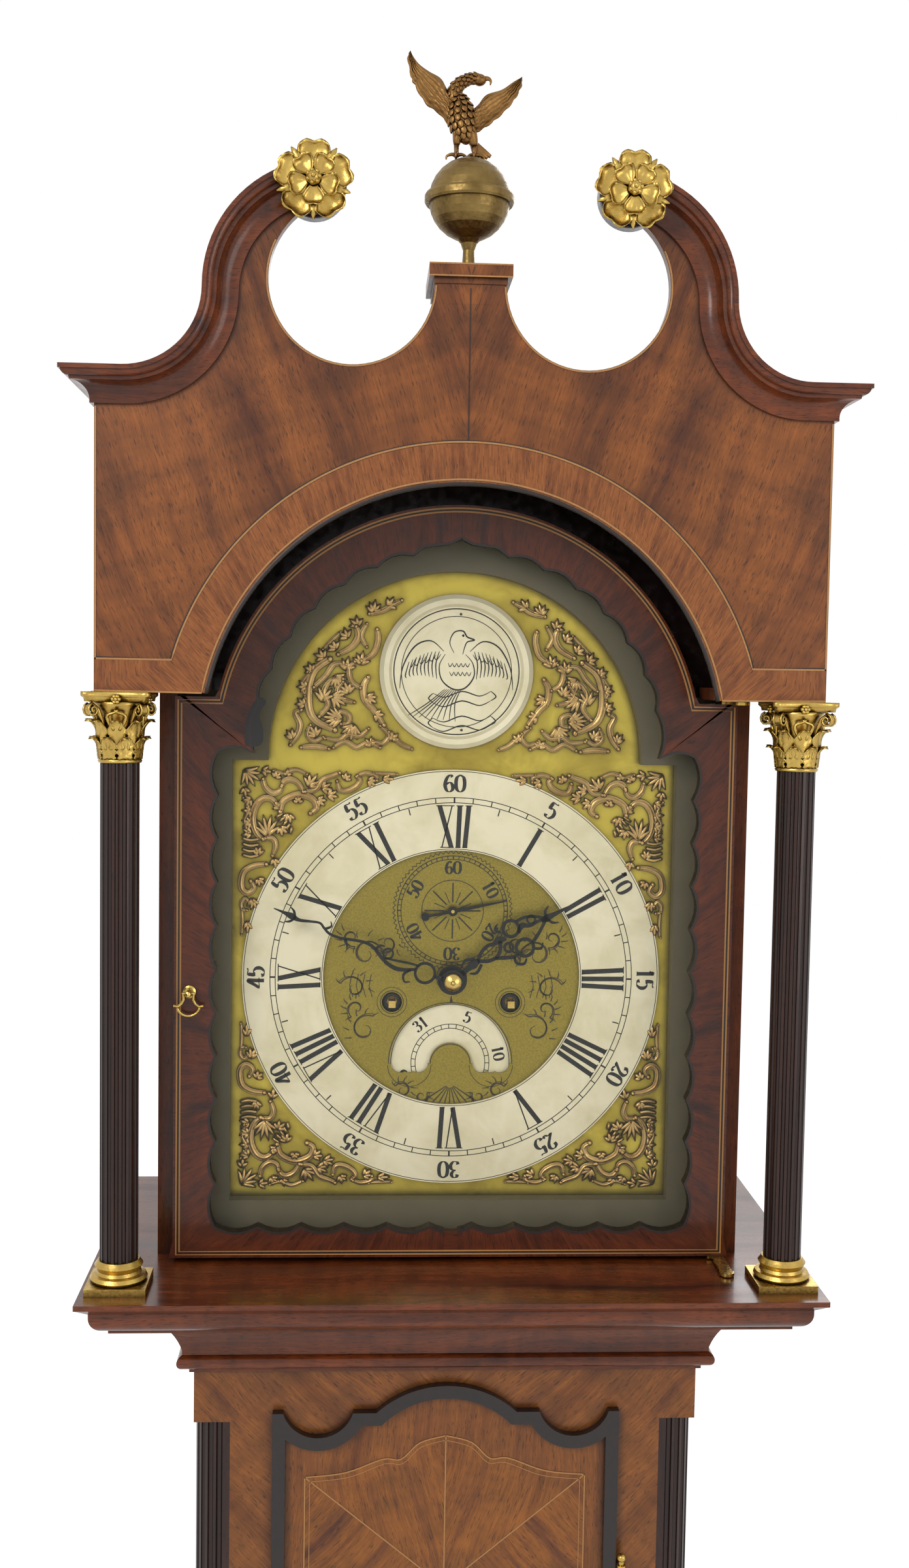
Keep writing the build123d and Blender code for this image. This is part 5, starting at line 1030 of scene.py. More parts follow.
def moulded_bar(heap, line, half, y):
    """A cast scroll band: a raised middle rib between two finer edge ribs, closed behind."""
    profile = ((-1, 1.2), (-1, -0.5), (-0.78, -1.15), (-0.5, -0.55), (-0.2, -1.75), (0.2, -1.75), (0.5, -0.55),
               (0.78, -1.15), (1, -0.5), (1, 1.2))
    count, sides = len(line), len(profile)
    points = []
    for n, p in enumerate(line):
        run = Vector(line[min(n + 1, count - 1)]) - Vector(line[max(n - 1, 0)])
        side = Vector((-run.y, run.x)).normalized()
        w = half[n] if isinstance(half, list) else half
        points += [(p[0] + side.x * w * s, y + d * min(1.0, w / 1.6), p[1] + side.y * w * s) for s, d in profile]
    heap.take(points, ring_faces(count, sides) + end_caps(count, sides))


def scroll_band(heap, spots, y, half=1.9, eyes=(True, True)):
    """A moulded band through the given spots, that rolls into a bead at either end."""
    line = smooth_flat(spots, 5)
    count = len(line)
    widths = [half * (0.75 + 0.5 * math.sin(math.pi * min(1.0, 0.12 + 0.88 * k / count))) for k in range(count)]
    moulded_bar(heap, line, widths, y)
    for end, wanted in ((line[0], eyes[0]), (line[-1], eyes[1])):
        if wanted:
            blob(heap, (end[0], y - 0.7, end[1]), (half * 0.95, 1.7, half * 0.95), 6, 10)


class CLOCK_OT_spandrels(bpy.types.Operator):
    """Model the pierced cast spandrels of the dial's corners and arch"""
    bl_idname = "clock.spandrels"
    bl_label = "Dial spandrels"

    def execute(self, context):
        heap = Heap()
        y, inset = DIAL_Y - 1.2, 4.5
        # Corner: distances are from the plate's corner, along the level and the upright edge
        ring = [(18.7 + 9.5 * math.cos(math.radians(a)), 36.5 + 14.5 * math.sin(math.radians(a)))
                for a in range(-48, -256, -23)]
        corner = [(ring, 2.0), ([(16, 9), (17.4, 14.6), (22.4, 18.7), (27.2, 17.4), (28.6, 14)], 1.7),
                  ([(29, 13), (31, 10), (35, 9), (40, 11.6), (43.6, 17.5)], 1.8),
                  ([(27.8, 31.5), (30, 24), (40, 19.5), (50, 22.4), (52.7, 29), (48.5, 32.4)], 2.0),
                  ([(45, 17.4), (52, 15.8), (57, 9), (65, 5.8), (68.5, 4.1)], 1.6),
                  ([(66.8, 10), (68.5, 15.8), (73.4, 16.6), (80, 13.3), (82.6, 9), (80, 6.6)], 1.6),
                  ([(80.9, 5.8), (86.7, 4.1), (93.4, 5.8), (94.2, 9)], 1.4), ([(92, 4), (100, 4.6), (108, 4.6)], 1.0),
                  ([(17.8, 50), (22.8, 50), (25, 55), (22.8, 62)], 1.6),
                  ([(18.7, 68), (10.4, 69), (3.4, 73), (1.4, 80), (2.2, 85.5), (6.2, 88), (10.4, 84.6),
                    (8, 79.7)], 1.8),
                  ([(7, 95), (4.4, 92), (1.6, 95), (2.4, 99.6), (5.6, 100)], 1.2),
                  ([(2, 99), (2.6, 108), (2, 117)], 1.0),
                  ([(2.4, 22), (6.4, 30), (3.4, 38), (6.4, 46)], 1.2), ([(23, 3), (30, 5), (38, 2.4), (46, 5.4)], 1.2)]
        sprays = [(3, 3, 45, 13, 6, 84), (3, 15, 80, 7, 3, 60), (15, 3, 10, 7, 3, 60), (8, 23, 150, 7, 4, 90),
                  (8, 31, 160, 7, 4, 90), (8, 39, 170, 7, 4, 90), (8, 47, 190, 7, 4, 90), (24, 8, -60, 6, 4, 90),
                  (32, 6.6, -80, 5, 3, 90), (47, 14, -55, 10, 5, 90), (56, 15, -10, 8, 4, 80), (53, 23, 20, 7, 4, 80),
                  (60, 20, -10, 8, 4, 70), (19, 49, -90, 15, 6, 74), (27, 29, -140, 6, 3, 70), (40, 25, -90, 5, 4, 120),
                  (72, 9, -60, 6, 4, 90), (88, 9, 20, 7, 4, 80), (98, 8, 0, 8, 3, 40), (13, 78, 60, 6, 4, 90),
                  (13, 62, -90, 7, 4, 70), (9, 92, 80, 8, 4, 60), (24, 64, 80, 7, 3, 60), (6, 108, 90, 8, 3, 40),
                  (34, 33, 100, 7, 4, 90), (28, 42, 60, 7, 4, 90)]
        for sx in (-1, 1):
            for sz in (-1, 1):
                part = Heap()
                for spots, half in corner:
                    scroll_band(part, spots, y, half)
                for u, v, angle, long, count, fan in sprays:
                    leaf_spray(part, u, v, angle, long * 1.1, count, y, fan, 1.5)
                for k in range(5):
                    tube(part, [(24.4 + 2.6 * k, y, 36 + 2.7 * k), (29.6 + 1.6 * k, y - 0.4, 32.4 + 2.4 * k)], 1.1, 6)
                for k in range(4):
                    rise = 3.8 * k
                    bar = smooth_line([(2, y, 50 + rise), (7.5, y - 0.7, 51.4 + rise), (13.4, y, 50.4 + rise)], 3)
                    tube(part, bar, 1.25, 6)
                x0 = sx * (DIAL_WIDTH / 2 - inset)
                z0 = SHOULDER - inset if sz > 0 else SHOULDER - DIAL_WIDTH + inset
                flip = sx * sz > 0
                points = [(x0 - sx * u, py, z0 - sz * v) for u, py, v in part.points]
                heap.take(points, [tuple(reversed(f)) if flip else f for f in part.faces])
        # Arch: a tall leaning group each side of the boss, wide at the foot
        arch = [([(87, 69.5), (97.6, 61.5), (101.6, 48.7), (100.8, 34.3), (95.2, 26.3), (83.1, 20.7)], 2.3),
                ([(69.5, 92), (67.9, 85.5), (71.9, 78.3), (81.5, 72.7)], 1.9),
                ([(55.1, 90.3), (54.3, 83.1), (57.5, 73.5), (65.5, 68.7)], 1.7),
                ([(60.7, 57.5), (63.9, 51), (63.1, 42.3), (57.5, 35.9), (49.5, 24.6)], 1.9),
                ([(106.4, 8.6), (96, 9.4), (87.1, 7.8)], 1.7),
                ([(113.6, 10.2), (108.8, 17.4), (107.2, 24.6), (110.4, 31.9), (106.4, 34.3)], 1.7),
                ([(84, 8.6), (76, 13), (68, 9), (60, 12.6), (52, 9)], 1.5),
                ([(60.7, 100.8), (51.1, 103.2), (44.7, 107.2), (38.3, 110.4)], 1.6),
                ([(104, 44), (106, 52), (101, 60)], 1.1), ([(92, 76), (84, 84), (80, 88)], 1.1),
                ([(46, 20), (38, 12), (30, 8.4)], 1.4),
                ([(82.8, 28.6), (79, 33.4), (73.6, 31), (74, 25.6), (79, 25)], 1.5),
                ([(94, 30), (88, 38), (91, 47), (86, 55), (78, 56)], 1.6),
                ([(98, 50), (90, 58), (84, 66), (76, 66)], 1.5),
                ([(66, 50), (72, 54), (74, 62), (70, 68)], 1.5), ([(70, 40), (78, 42), (82, 48), (78, 54)], 1.5),
                ([(60, 22), (66, 17), (74, 18), (80, 14), (90, 15)], 1.5), ([(62, 78), (66, 86), (62, 94)], 1.4),
                ([(100, 24), (102, 17), (97, 13), (91, 16)], 1.4), ([(52, 24), (46, 18), (50, 12), (57, 14)], 1.4)]
        fans = [(78, 28.6, 5, 14, 7, 70), (70.3, 25, -70, 12, 6, 80), (66, 66, 100, 9, 5, 90), (96, 16, 60, 9, 5, 90),
                (104, 38, 20, 7, 4, 90), (103, 50, 20, 7, 4, 90), (99, 61, 45, 7, 4, 90), (91, 70, 40, 8, 4, 90),
                (83, 76, 50, 8, 4, 90), (75, 84, 50, 8, 4, 90), (68, 92, 60, 8, 4, 90), (58, 101, 100, 9, 5, 80),
                (48, 106, 140, 8, 4, 80), (62, 44, -150, 8, 5, 90), (56, 32, -160, 7, 4, 90), (58, 10, 70, 7, 4, 90),
                (44, 14, 110, 7, 4, 90), (112, 14, 70, 8, 4, 60), (86, 44, 200, 12, 6, 80), (84, 58, 230, 10, 6, 90),
                (92, 40, 100, 12, 5, 70), (74, 46, 70, 9, 5, 90), (76, 62, 100, 9, 5, 90)]
        for side in (-1, 1):
            part = Heap()
            for spots, half in arch:
                scroll_band(part, spots, y, half)
            for u, v, angle, long, count, fan in fans:
                leaf_spray(part, u, v, angle, long * 1.1, count, y, fan, 1.6)
            points = [(side * u, py, SHOULDER + v) for u, py, v in part.points]
            heap.take(points, part.faces if side > 0 else [tuple(reversed(f)) for f in part.faces])
        heap.piece("spandrel_castings", "spandrel", "case", replaces=["dial_spandrels"])
        return {"FINISHED"}


MINUTE_ANGLE = 292.2
HOUR_ANGLE = 56.9


def along_hand(angle, line):
    a = math.radians(angle)
    return [(d * math.sin(a) + w * math.cos(a), CENTRE_Z + d * math.cos(a) - w * math.sin(a)) for d, w in line]


class CLOCK_OT_hands(bpy.types.Operator):
    """Saw out the serpentine minute hand and the pierced scroll hour hand"""
    bl_idname = "clock.hands"
    bl_label = "Hands"

    def execute(self, context):
        # Each line gives distances along the hand and across it, then its widths
        y = DIAL_Y - 17.5
        self.hand("serpentine_minute_hand", MINUTE_ANGLE, y, "minute_arbor", "minute_hand", 8.4, 3.7, [
            ([(27, -1.5), (34, -4.8), (40, -6.3), (46, -5.4), (52, -3), (60, 1.4), (66, 2.2), (73.4, 1), (83, -1.4),
              (91, -1.6), (96, 0.6), (100, 2.7), (106, 1.4), (113.8, -0.8), (120, -0.3), (126, 0), (133, 0)],
             [1.8, 2.4, 2.8, 2.6, 2.4, 2.2, 2, 1.9, 1.8, 1.7, 1.6, 1.5, 1.6, 2.2, 4.4, 1.8, 0.4]),
            ([(26, 1.5), (34, 0.4), (42, -1.2), (50, -2.6)], [1.4, 1.5, 1.4, 1.2]),
            ([(7, -0.4), (10, -0.8), (13.4, -1.5)], [3.4, 2.6, 2]),
            ([(30, -3), (33.4, -8), (31, -12.4), (27.4, -11)], [1.6, 1.8, 1.3, 0.6]),
            ([(80, -0.8), (77.4, -3.6), (76, -7.4)], [1.8, 1.4, 0.4]),
            ([(95, 0.5), (92, 3.6), (93.6, 6.6)], [1.8, 1.4, 0.4]),
            ([(58, 0.6), (56, 4.2), (52.6, 5)], [1.8, 1.5, 0.5]),
            ([(117, -0.5), (119.4, 3.4), (123, 5.4)], [1.6, 1.6, 0.3]),
            ([(117, -0.5), (119.4, -4), (123, -5.8)], [1.6, 1.6, 0.3])],
            [(20.2, -1.5, 6.8, 1.9), (48.8, 1.2, 3.4, 1.3)])
        collet = Heap()
        lathe(collet, 0, CENTRE_Z, [(0, y - 4.0), (2.2, y - 3.9), (3.4, y - 3.2), (5.6, y - 2.4), (6.2, y - 1.6),
                                    (6.2, y - 0.4), (4.6, y), (3.7, y)])
        blob(collet, (0, y - 4.1, CENTRE_Z), (1.5, 1.2, 1.5), 6, 10)
        collet.piece("hand_collet", "brass", "minute_arbor")
        y = DIAL_Y - 10.5
        self.hand("scroll_hour_hand", HOUR_ANGLE, y, "hour_arbor", "hour_hand", 10.2, 5.7, [
            ([(8, 0), (13, -0.8), (18.4, -1.5), (23, -1.8)], [4, 3.4, 6.6, 2.4]),
            ([(21, -4), (15, -6.8), (10.6, -4.4)], [2, 2, 0.8]), ([(23, 1.6), (17, 4.8), (12.6, 2.6)], [2, 2, 0.8]),
            ([(22, -1.8), (28, 2), (34, 3), (39, 0.4), (42.5, -5.6)], [2.4, 2.6, 2.4, 2.4, 2.6]),
            ([(22, -1.8), (27, -5.4), (33, -7.2), (38, -5.8), (43, -6), (47, -4)], [2.2, 2.4, 2.2, 2.6, 4.8, 1.6]),
            ([(33, 3), (39, 6.4), (45, 9.4), (48.6, 9)], [2.2, 2.6, 2.4, 1.8]),
            ([(45, 9.4), (44, 14), (48, 17.2), (51.6, 15)], [2, 2, 1.8, 1]),
            ([(46, -10), (43.6, -14), (47.4, -16.4)], [2, 1.8, 0.6]),
            ([(56, -3), (61, -6.2), (66, -3), (72, -2.8), (78, -1.4)], [1.8, 4.2, 2, 2, 2.4]),
            ([(59, -11), (66, -10), (72, -6.6), (78, -1.4)], [1.8, 2, 2, 2]),
            ([(60.5, 8), (66, 5.6), (72, 2.4), (78, -1.4)], [2, 2.4, 2, 2]),
            ([(60, 12), (64, 14.4), (67, 11.6)], [1.8, 1.8, 0.6]),
            ([(74, -1.6), (78, -1.4), (83, -0.9), (90, -0.3), (96, 0)], [2, 5.4, 3.2, 2.2, 0.4]),
            ([(78, -1.4), (80, -6), (84, -8)], [2, 1.8, 0.4]), ([(78, -1.4), (80, 3.4), (84, 5.8)], [2, 1.8, 0.4])],
            [(53.4, -8.6, 5.6, 2.2), (54.6, 7.9, 6.0, 2.2), (45.2, 1.8, 3.0, 1.8), (68.6, -6.4, 2.8, 1.4)])
        return {"FINISHED"}

    def hand(self, name, angle, y, body, node, boss, bore, strokes, rings):
        heap = Heap()
        for spots, widths in strokes:
            spans = [a + (b - a) * k / 5 for a, b in zip(widths, widths[1:]) for k in range(5)] + [widths[-1]]
            ribbon(heap, along_hand(angle, smooth_flat(spots, 5)), spans, y, 1.3)
        for d, w, r, wide in rings:
            ribbon(heap, along_hand(angle, arc(d, w, r, 0, 360, 30)), wide, y, 1.3)
        lathe(heap, 0, CENTRE_Z, [(bore, y), (boss, y), (boss, y + 1.4), (bore, y + 1.4), (bore, y)])
        return heap.piece(name, "blued", body, smooth=False, replaces=[node])


COLUMN_X, COLUMN_Y = 217.4, -97.0


class CLOCK_OT_capitals(bpy.types.Operator):
    """Cast the leafy capitals of the hood columns"""
    bl_idname = "clock.capitals"
    bl_label = "Column capitals"

    def execute(self, context):
        low, top = SHOULDER + 1.0, SHOULDER + 46.0
        heap = Heap()
        for side in (-1, 1):
            cx, cy = side * COLUMN_X, COLUMN_Y
            turned_z(heap, cx, cy, [(11, low), (13.4, low + 0.2), (13.9, low + 1.4), (13.0, low + 2.8),
                                    (11.6, low + 3.6), (11.6, low + 20), (13, low + 31), (16, low + 36),
                                    (17.4, top - 6.5), (10, top - 6.5)])
            for row, (z0, high, r0, out) in enumerate(((low + 3, 14, 12.4, 4.6), (low + 9, 19, 13.0, 6.2))):
                for n in range(8):
                    self.leaf(heap, cx, cy, math.radians(45 * n + 22.5 * (row + 1)), z0, high, r0, out)
            for n in range(4):
                self.volute(heap, cx, cy, math.radians(45 + 90 * n), top)
                self.fleuron(heap, cx, cy, math.radians(90 * n), top)
            self.abacus(heap, cx, cy, top)
        heap.piece("capital_castings", "gilt", "hood", replaces=["column_capitals"])
        return {"FINISHED"}

    def leaf(self, heap, cx, cy, angle, z0, high, r0, out):
        """One lobed leaf, hollow along its rib, its tip curling outwards."""
        rows = []
        for i in range(13):
            t = i / 12
            lobe = 1 + 0.22 * math.sin(t * math.pi * 7)
            half = 5.0 * lobe * (0.75 + 0.35 * math.sin(math.pi * t)) * (1 - 0.75 * max(0, t - 0.8) / 0.2)
            curl = max(0.0, t - 0.62) / 0.38
            r = r0 + 1.2 + 1.4 * t + out * curl ** 1.7
            z = z0 + high * (t if curl <= 0 else 0.62 + 0.38 * math.sin(curl * 1.9))
            row = []
            for j in range(7):
                s = (j - 3) / 3
                rib = -0.9 * (1 - abs(s)) if j != 3 else 0.7
                a = angle + s * half / max(r, 10)
                depth = r + rib * 0.8 + 0.5 * abs(s)
                row.append((cx + depth * math.cos(a), cy + depth * math.sin(a), z - 1.2 * s * s * (0.5 + t)))
            rows.append(row)
        back = (-1.1 * math.cos(angle), -1.1 * math.sin(angle), 0)
        sheet_grid(heap, rows, back)

    def volute(self, heap, cx, cy, angle, top):
        """A corner scroll that rises from the leaves and rolls under the abacus."""
        stalk = [(13.5, -26), (15.0, -18), (18.0, -11), (22.0, -7.6)]
        coil = [(22.0 + 4.4 * (1 - t) * math.sin(2.2 * math.pi * 1.6 * t + 0.2),
                 -11.6 + 4.4 * (1 - t) * math.cos(2.2 * math.pi * 1.6 * t + 0.2)) for t in
                [k / 18 for k in range(18)]]
        for split in (-0.16, 0.16):
            line = [(cx + r * math.cos(angle + split * (22 - min(r, 22)) / 9), cy
                     + r * math.sin(angle + split * (22 - min(r, 22)) / 9), top + z) for r, z in stalk]
            tube(heap, line, [1.0, 1.2, 1.4, 1.4], 6)
        across = (-math.sin(angle), math.cos(angle))
        half = 2.6

        def at(r, z, s):
            return cx + r * math.cos(angle) + s * across[0], cy + r * math.sin(angle) + s * across[1], top + z

        heap.take([at(r, z, s) for r, z in coil for s in (-half, half)],
                  [(2 * n, 2 * n + 1, 2 * n + 3, 2 * n + 2) for n in range(len(coil) - 1)])
        for s in (-half, half):
            tube(heap, [at(r, z, s) for r, z in coil], 0.8, 5)

    def fleuron(self, heap, cx, cy, angle, top):
        """Inner curls and a flower in the middle of each side."""
        x0, y0 = cx + 18.2 * math.cos(angle), cy + 18.2 * math.sin(angle)
        side = (-math.sin(angle), math.cos(angle))
        for n in range(6):
            a = math.pi * n / 3
            blob(heap, (x0 + 1.9 * math.cos(a) * side[0], y0 + 1.9 * math.cos(a) * side[1],
                        top - 4.6 + 1.9 * math.sin(a)), (1.5, 1.5, 1.3), 5, 8)
        blob(heap, (x0 + 0.9 * math.cos(angle), y0 + 0.9 * math.sin(angle), top - 4.6), (1.3, 1.3, 1.3), 5, 8)
        for way in (-1, 1):
            line = []
            for k in range(14):
                t = k / 13
                s = way * (1.5 + 5.0 * math.sin(t * 4.0) * (1 - 0.35 * t))
                z = top - 24 + 15 * t + 2.5 * math.sin(t * 4.5)
                r = 14.2 + 2.8 * t
                line.append((cx + r * math.cos(angle) + s * side[0], cy + r * math.sin(angle) + s * side[1], z))
            tube(heap, line, [1.3 - 0.6 * k / 13 for k in range(14)], 6)

    def abacus(self, heap, cx, cy, top):
        """The hollow-sided cap with clipped corners, in two moulded steps."""
        def outline(grow):
            out = []
            for n in range(4):
                base = math.pi / 2 * n
                for k in range(-6, 7):
                    s = k / 6 * (19.0 + grow)
                    depth = 16.2 + grow + 5.0 * (abs(k) / 6) ** 2
                    out.append((cx + depth * math.cos(base) - s * math.sin(base),
                                cy + depth * math.sin(base) + s * math.cos(base)))
            return out
        levels = [(-1.6, -6.2), (-1.2, -4.0), (-0.3, -3.2), (0.3, -2.6), (0.3, 0.0)]
        rings = [[(x, y, top + z) for x, y in outline(grow)] for grow, z in levels]
        count = len(rings[0])
        points = [p for ring in rings for p in ring]
        heap.take(points, ring_faces(len(rings), count) + end_caps(len(rings), count))


class CLOCK_OT_rosettes(bpy.types.Operator):
    """Stamp the double five-petal roses on the scroll ends"""
    bl_idname = "clock.rosettes"
    bl_label = "Rosettes"

    def execute(self, context):
        heap = Heap()
        stems = Heap()
        back = FRIEZE_Y - 19.0
        for side in (-1, 1):
            cx, cz = side * 97.4, SHOULDER + 356.5
            lathe(stems, cx, cz, [(0, back), (19, back), (20, back + 1), (20, FRIEZE_Y - 2), (18, FRIEZE_Y),
                                  (0, FRIEZE_Y)])
            for turn, reach, wide, lift, hub in ((90, 25.0, 38, 2.0, 7.0), (54, 16.5, 40, 5.2, 4.0)):
                for n in range(5):
                    self.petal(heap, cx, cz, turn + 72 * n, reach, wide, back - lift, hub)
            # Narrow leaves between the outer petals, then the bud
            for n in range(5):
                a = math.radians(54 + 72 * n)
                line = [(cx + r * math.cos(a), back - 1.4 - 0.06 * r, cz + r * math.sin(a)) for r in (8, 14, 19, 23.4)]
                tube(heap, line, [1.8, 3.2, 2.4, 0.4], 6, 0.5)
            blob(heap, (cx, back - 8.0, cz), (4.4, 4.6, 4.4), 8, 14)
            for n in range(7):
                a = 2 * math.pi * n / 7
                blob(heap, (cx + 3.6 * math.cos(a), back - 9.6, cz + 3.6 * math.sin(a)), (1.5, 2.2, 1.5), 5, 8)
            blob(heap, (cx, back - 12.6, cz), (1.6, 1.6, 1.6), 5, 8)
        heap.piece("rose_bosses", "gilt", "hood", replaces=["rosettes"])
        stems.piece("scroll_ends", "ebonised", "hood")
        return {"FINISHED"}

    def petal(self, heap, cx, cz, angle, reach, wide, y, hub):
        rows = []
        for i in range(11):
            t = i / 10
            half = math.radians(wide) * (0.55 + 0.45 * math.sin(math.pi * min(1.0, 0.1 + 0.75 * t)))
            row = []
            for j in range(11):
                s = (j - 5) / 5
                notch = 0.12 * math.exp(-(s / 0.28) ** 2) * t ** 3
                r = hub + (reach - hub) * t * (1 - notch - 0.2 * abs(s) ** 3 * t)
                roll = max(0, t - 0.72) / 0.28 + max(0, abs(s) - 0.7) / 0.3 * 0.8
                dish = 1.6 * math.sin(math.pi * min(1, t * 0.9)) * (1 - s * s)
                rib = 0.35 * math.cos(s * math.pi * 3) * t
                a = math.radians(angle) + s * half * 0.92
                row.append((cx + r * math.cos(a), y + dish - 1.9 * roll ** 1.5 + rib, cz + r * math.sin(a)))
            rows.append(row)
        sheet_grid(heap, rows, (0, 0.9, 0))


class CLOCK_OT_eagle(bpy.types.Operator):
    """Cast the eagle on the finial's ball"""
    bl_idname = "clock.eagle"
    bl_label = "Eagle finial"

    def execute(self, context):
        heap = Heap()
        foot, y0 = SHOULDER + 388.5, -78.0

        def at(points):
            return [Vector((p[0], y0 + (p[2] if len(p) > 2 else 0), foot + p[1])) for p in points]

        lean = Matrix.Rotation(math.radians(-14), 3, "Y")
        middle = Vector((-6, y0, foot + 25))
        blob(heap, middle, (8.6, 7.6, 15), 14, 20, lean)
        self.scales(heap, middle, lean, (8.6, 7.6, 15), 9, 13, (2.1, 0.75, 2.7))
        neck = smooth_line(at([(-9.4, 33), (-10.6, 39), (-8.6, 44.6), (-4, 48), (0.6, 49.6), (4.4, 49.4)]), 4)
        girth = self.spread([6.2, 5.2, 4.3, 3.6, 3.3, 3.5], 4)
        tube(heap, neck, girth, 12, 0.9)
        for k in range(2, len(neck) - 2, 2):
            run = (neck[k + 1] - neck[k - 1]).normalized()
            over = Vector((0, -1, 0))
            side = run.cross(over).normalized()
            for n in range(8):
                a = math.pi * 2 * (n + 0.5 * (k // 2 % 2)) / 8
                out = side * math.cos(a) + over * math.sin(a)
                self.feather(heap, neck[k] + out * girth[k] * 0.95, out, -run, (1.25, 0.5, 1.7))
        blob(heap, at([(5.2, 48.8)])[0], (4.4, 3.5, 3.7), 10, 14)
        beak = smooth_line(at([(8.0, 49.6), (10.8, 49.8), (12.4, 48.2), (12.0, 45.8)]), 3)
        tube(heap, beak, [1.9 - 1.6 * k / (len(beak) - 1) for k in range(len(beak))], 8, 0.8)
        for y in (-3.3, 3.3):
            blob(heap, at([(6.4, 49.8, y)])[0], (0.8, 0.5, 0.8), 5, 8)
        self.wing(heap, at([(-13, 38), (-15.6, 42.6), (-19.6, 48.8), (-27, 52.8), (-33, 56.8), (-36.6, 61),
                            (-39, 65.2)]),
                  at([(-13, 19), (-19.6, 27), (-28.6, 33.6), (-35.6, 44.4), (-38.2, 50), (-40.2, 61), (-39, 65.2)]))
        self.wing(heap, at([(0, 29), (4.6, 33.4), (9.8, 39.6), (19.6, 43.2), (27, 48.4), (32.3, 51.5)]),
                  at([(0, 15), (6.2, 18), (16.4, 25.6), (26.2, 36), (31.4, 45.6), (32.3, 51.5)]))
        # Tail feathers, spread behind the second foot
        for k, (x, z) in enumerate(((13.4, 2.6), (11.4, 1.4), (9.0, 0.6), (6.4, 0.2), (4.0, 0.4))):
            line = smooth_line(at([(-1.5 + 0.6 * k, 17, 3), (2.2, 11 - 0.4 * k, 3.6), (x, z, 4 - 0.3 * k)]), 4)
            count = len(line)
            tube(heap, line, [2.3 - 1.1 * (j / (count - 1)) ** 3 for j in range(count)], 8, 0.5)
        tube(heap, smooth_line(at([(-6.6, 18), (-8.2, 12.4), (-8.8, 8)]), 3), self.spread([4.6, 3.2, 1.9], 3), 10)
        tube(heap, smooth_line(at([(-0.6, 17), (1.4, 11.4), (2.6, 7.6)]), 3), self.spread([5.0, 3.6, 2.2], 3), 10)
        for x, reach in ((-8.8, (-15, -2.6)), (2.6, (-1.6, 8.6))):
            tube(heap, at([(x, 8.4), (x, 4), (x, 0.6)]), [1.8, 1.5, 1.9], 8)
            for tip, y in ((reach[0], -0.6), (reach[1], -0.8), (x - 0.6, -5.6), (x, 4.2)):
                toe = at([(x, 1.4), ((x + tip) / 2, 2.0, y * 0.6), (tip, 0.6, y), (tip * 1.02, -1.4, y)])
                toe = smooth_line(toe, 3)
                tube(heap, toe, [1.5 - 1.1 * n / (len(toe) - 1) for n in range(len(toe))], 6)
        heap.piece("eagle_casting", "bronze", "hood", replaces=["eagle_finial"])
        return {"FINISHED"}

    def spread(self, values, steps):
        """Radii for a line that smooth_line has divided."""
        out = []
        for a, b in zip(values, values[1:]):
            out += [a + (b - a) * k / steps for k in range(steps)]
        return out + [values[-1]]

    def feather(self, heap, place, out, down, size):
        """One small overlapping feather whose tip stands away from the body."""
        down = (down + out * 0.28).normalized()
        across = out.cross(down).normalized()
        face = down.cross(across)
        turn = Matrix((across, face, down)).transposed()
        blob(heap, place + down * size[2] * 0.35, size, 5, 8, turn)

    def scales(self, heap, middle, lean, sizes, rows, count, size):
        """Rows of feathers round an egg-shaped body, from its top down."""
        for row in range(rows):
            lat = math.radians(66 - 132 * row / (rows - 1))
            around = max(7, round(count * math.cos(lat)))
            for n in range(around):
                a = 2 * math.pi * (n + 0.5 * (row % 2)) / around
                flat = Vector((math.cos(lat) * math.cos(a), math.cos(lat) * math.sin(a), math.sin(lat)))
                place = Vector((flat.x * sizes[0], flat.y * sizes[1], flat.z * sizes[2]))
                out = Vector((flat.x / sizes[0], flat.y / sizes[1], flat.z / sizes[2])).normalized()
                down = (Vector((0, 0, -1)) + out * out.z).normalized()
                self.feather(heap, middle + lean @ place, lean @ out, lean @ down, size)

    def wing(self, heap, upper, lower):
        """A raised blade between two edges: small coverts at its root, long flight feathers to its tip."""
        upper, lower = smooth_line(upper, 7), smooth_line(lower, 7)
        rings, across = [], 36
        count = len(upper)
        pick = [round(k * (len(lower) - 1) / (count - 1)) for k in range(count)]
        for k in range(count):
            t = k / (count - 1)
            low = lower[pick[k]]
            edge = (low - upper[k]).normalized() if (low - upper[k]).length > 1e-6 else Vector((0, 0, -1))
            low = low + edge * 0.9 * abs(math.sin(math.pi * t * 8)) * min(1.0, 6 * (1 - t))
            ring = []
            for face in (-1, 1):
                for j in range(across + 1):
                    s = j / across if face < 0 else 1 - j / across
                    body = 3.4 * (1 - 0.75 * t) * (math.sin(math.pi * min(1.0, s * 0.85 + 0.12)) ** 0.7)
                    if t > 0.34:
                        rise = 1.1 * (1 - (s * 6.2 + 0.35 * t) % 1.0)
                    else:
                        row = t * 11
                        shift = 0.5 * (int(row) % 2)
                        rise = 1.0 * abs(math.sin(math.pi * (s * 6 + shift))) * (1 - 0.5 * (row % 1.0))
                    thick = (0.5 + body + rise * min(1.0, 5 * (1 - t))) * (min(1.0, 4 * min(s, 1 - s) + 0.25))
                    p = upper[k].lerp(low, s)
                    ring.append(Vector((p.x, p.y + face * thick, p.z)))
            rings.append(ring)
        wide = len(rings[0])
        heap.take([p for ring in rings for p in ring], ring_faces(count, wide) + end_caps(count, wide))


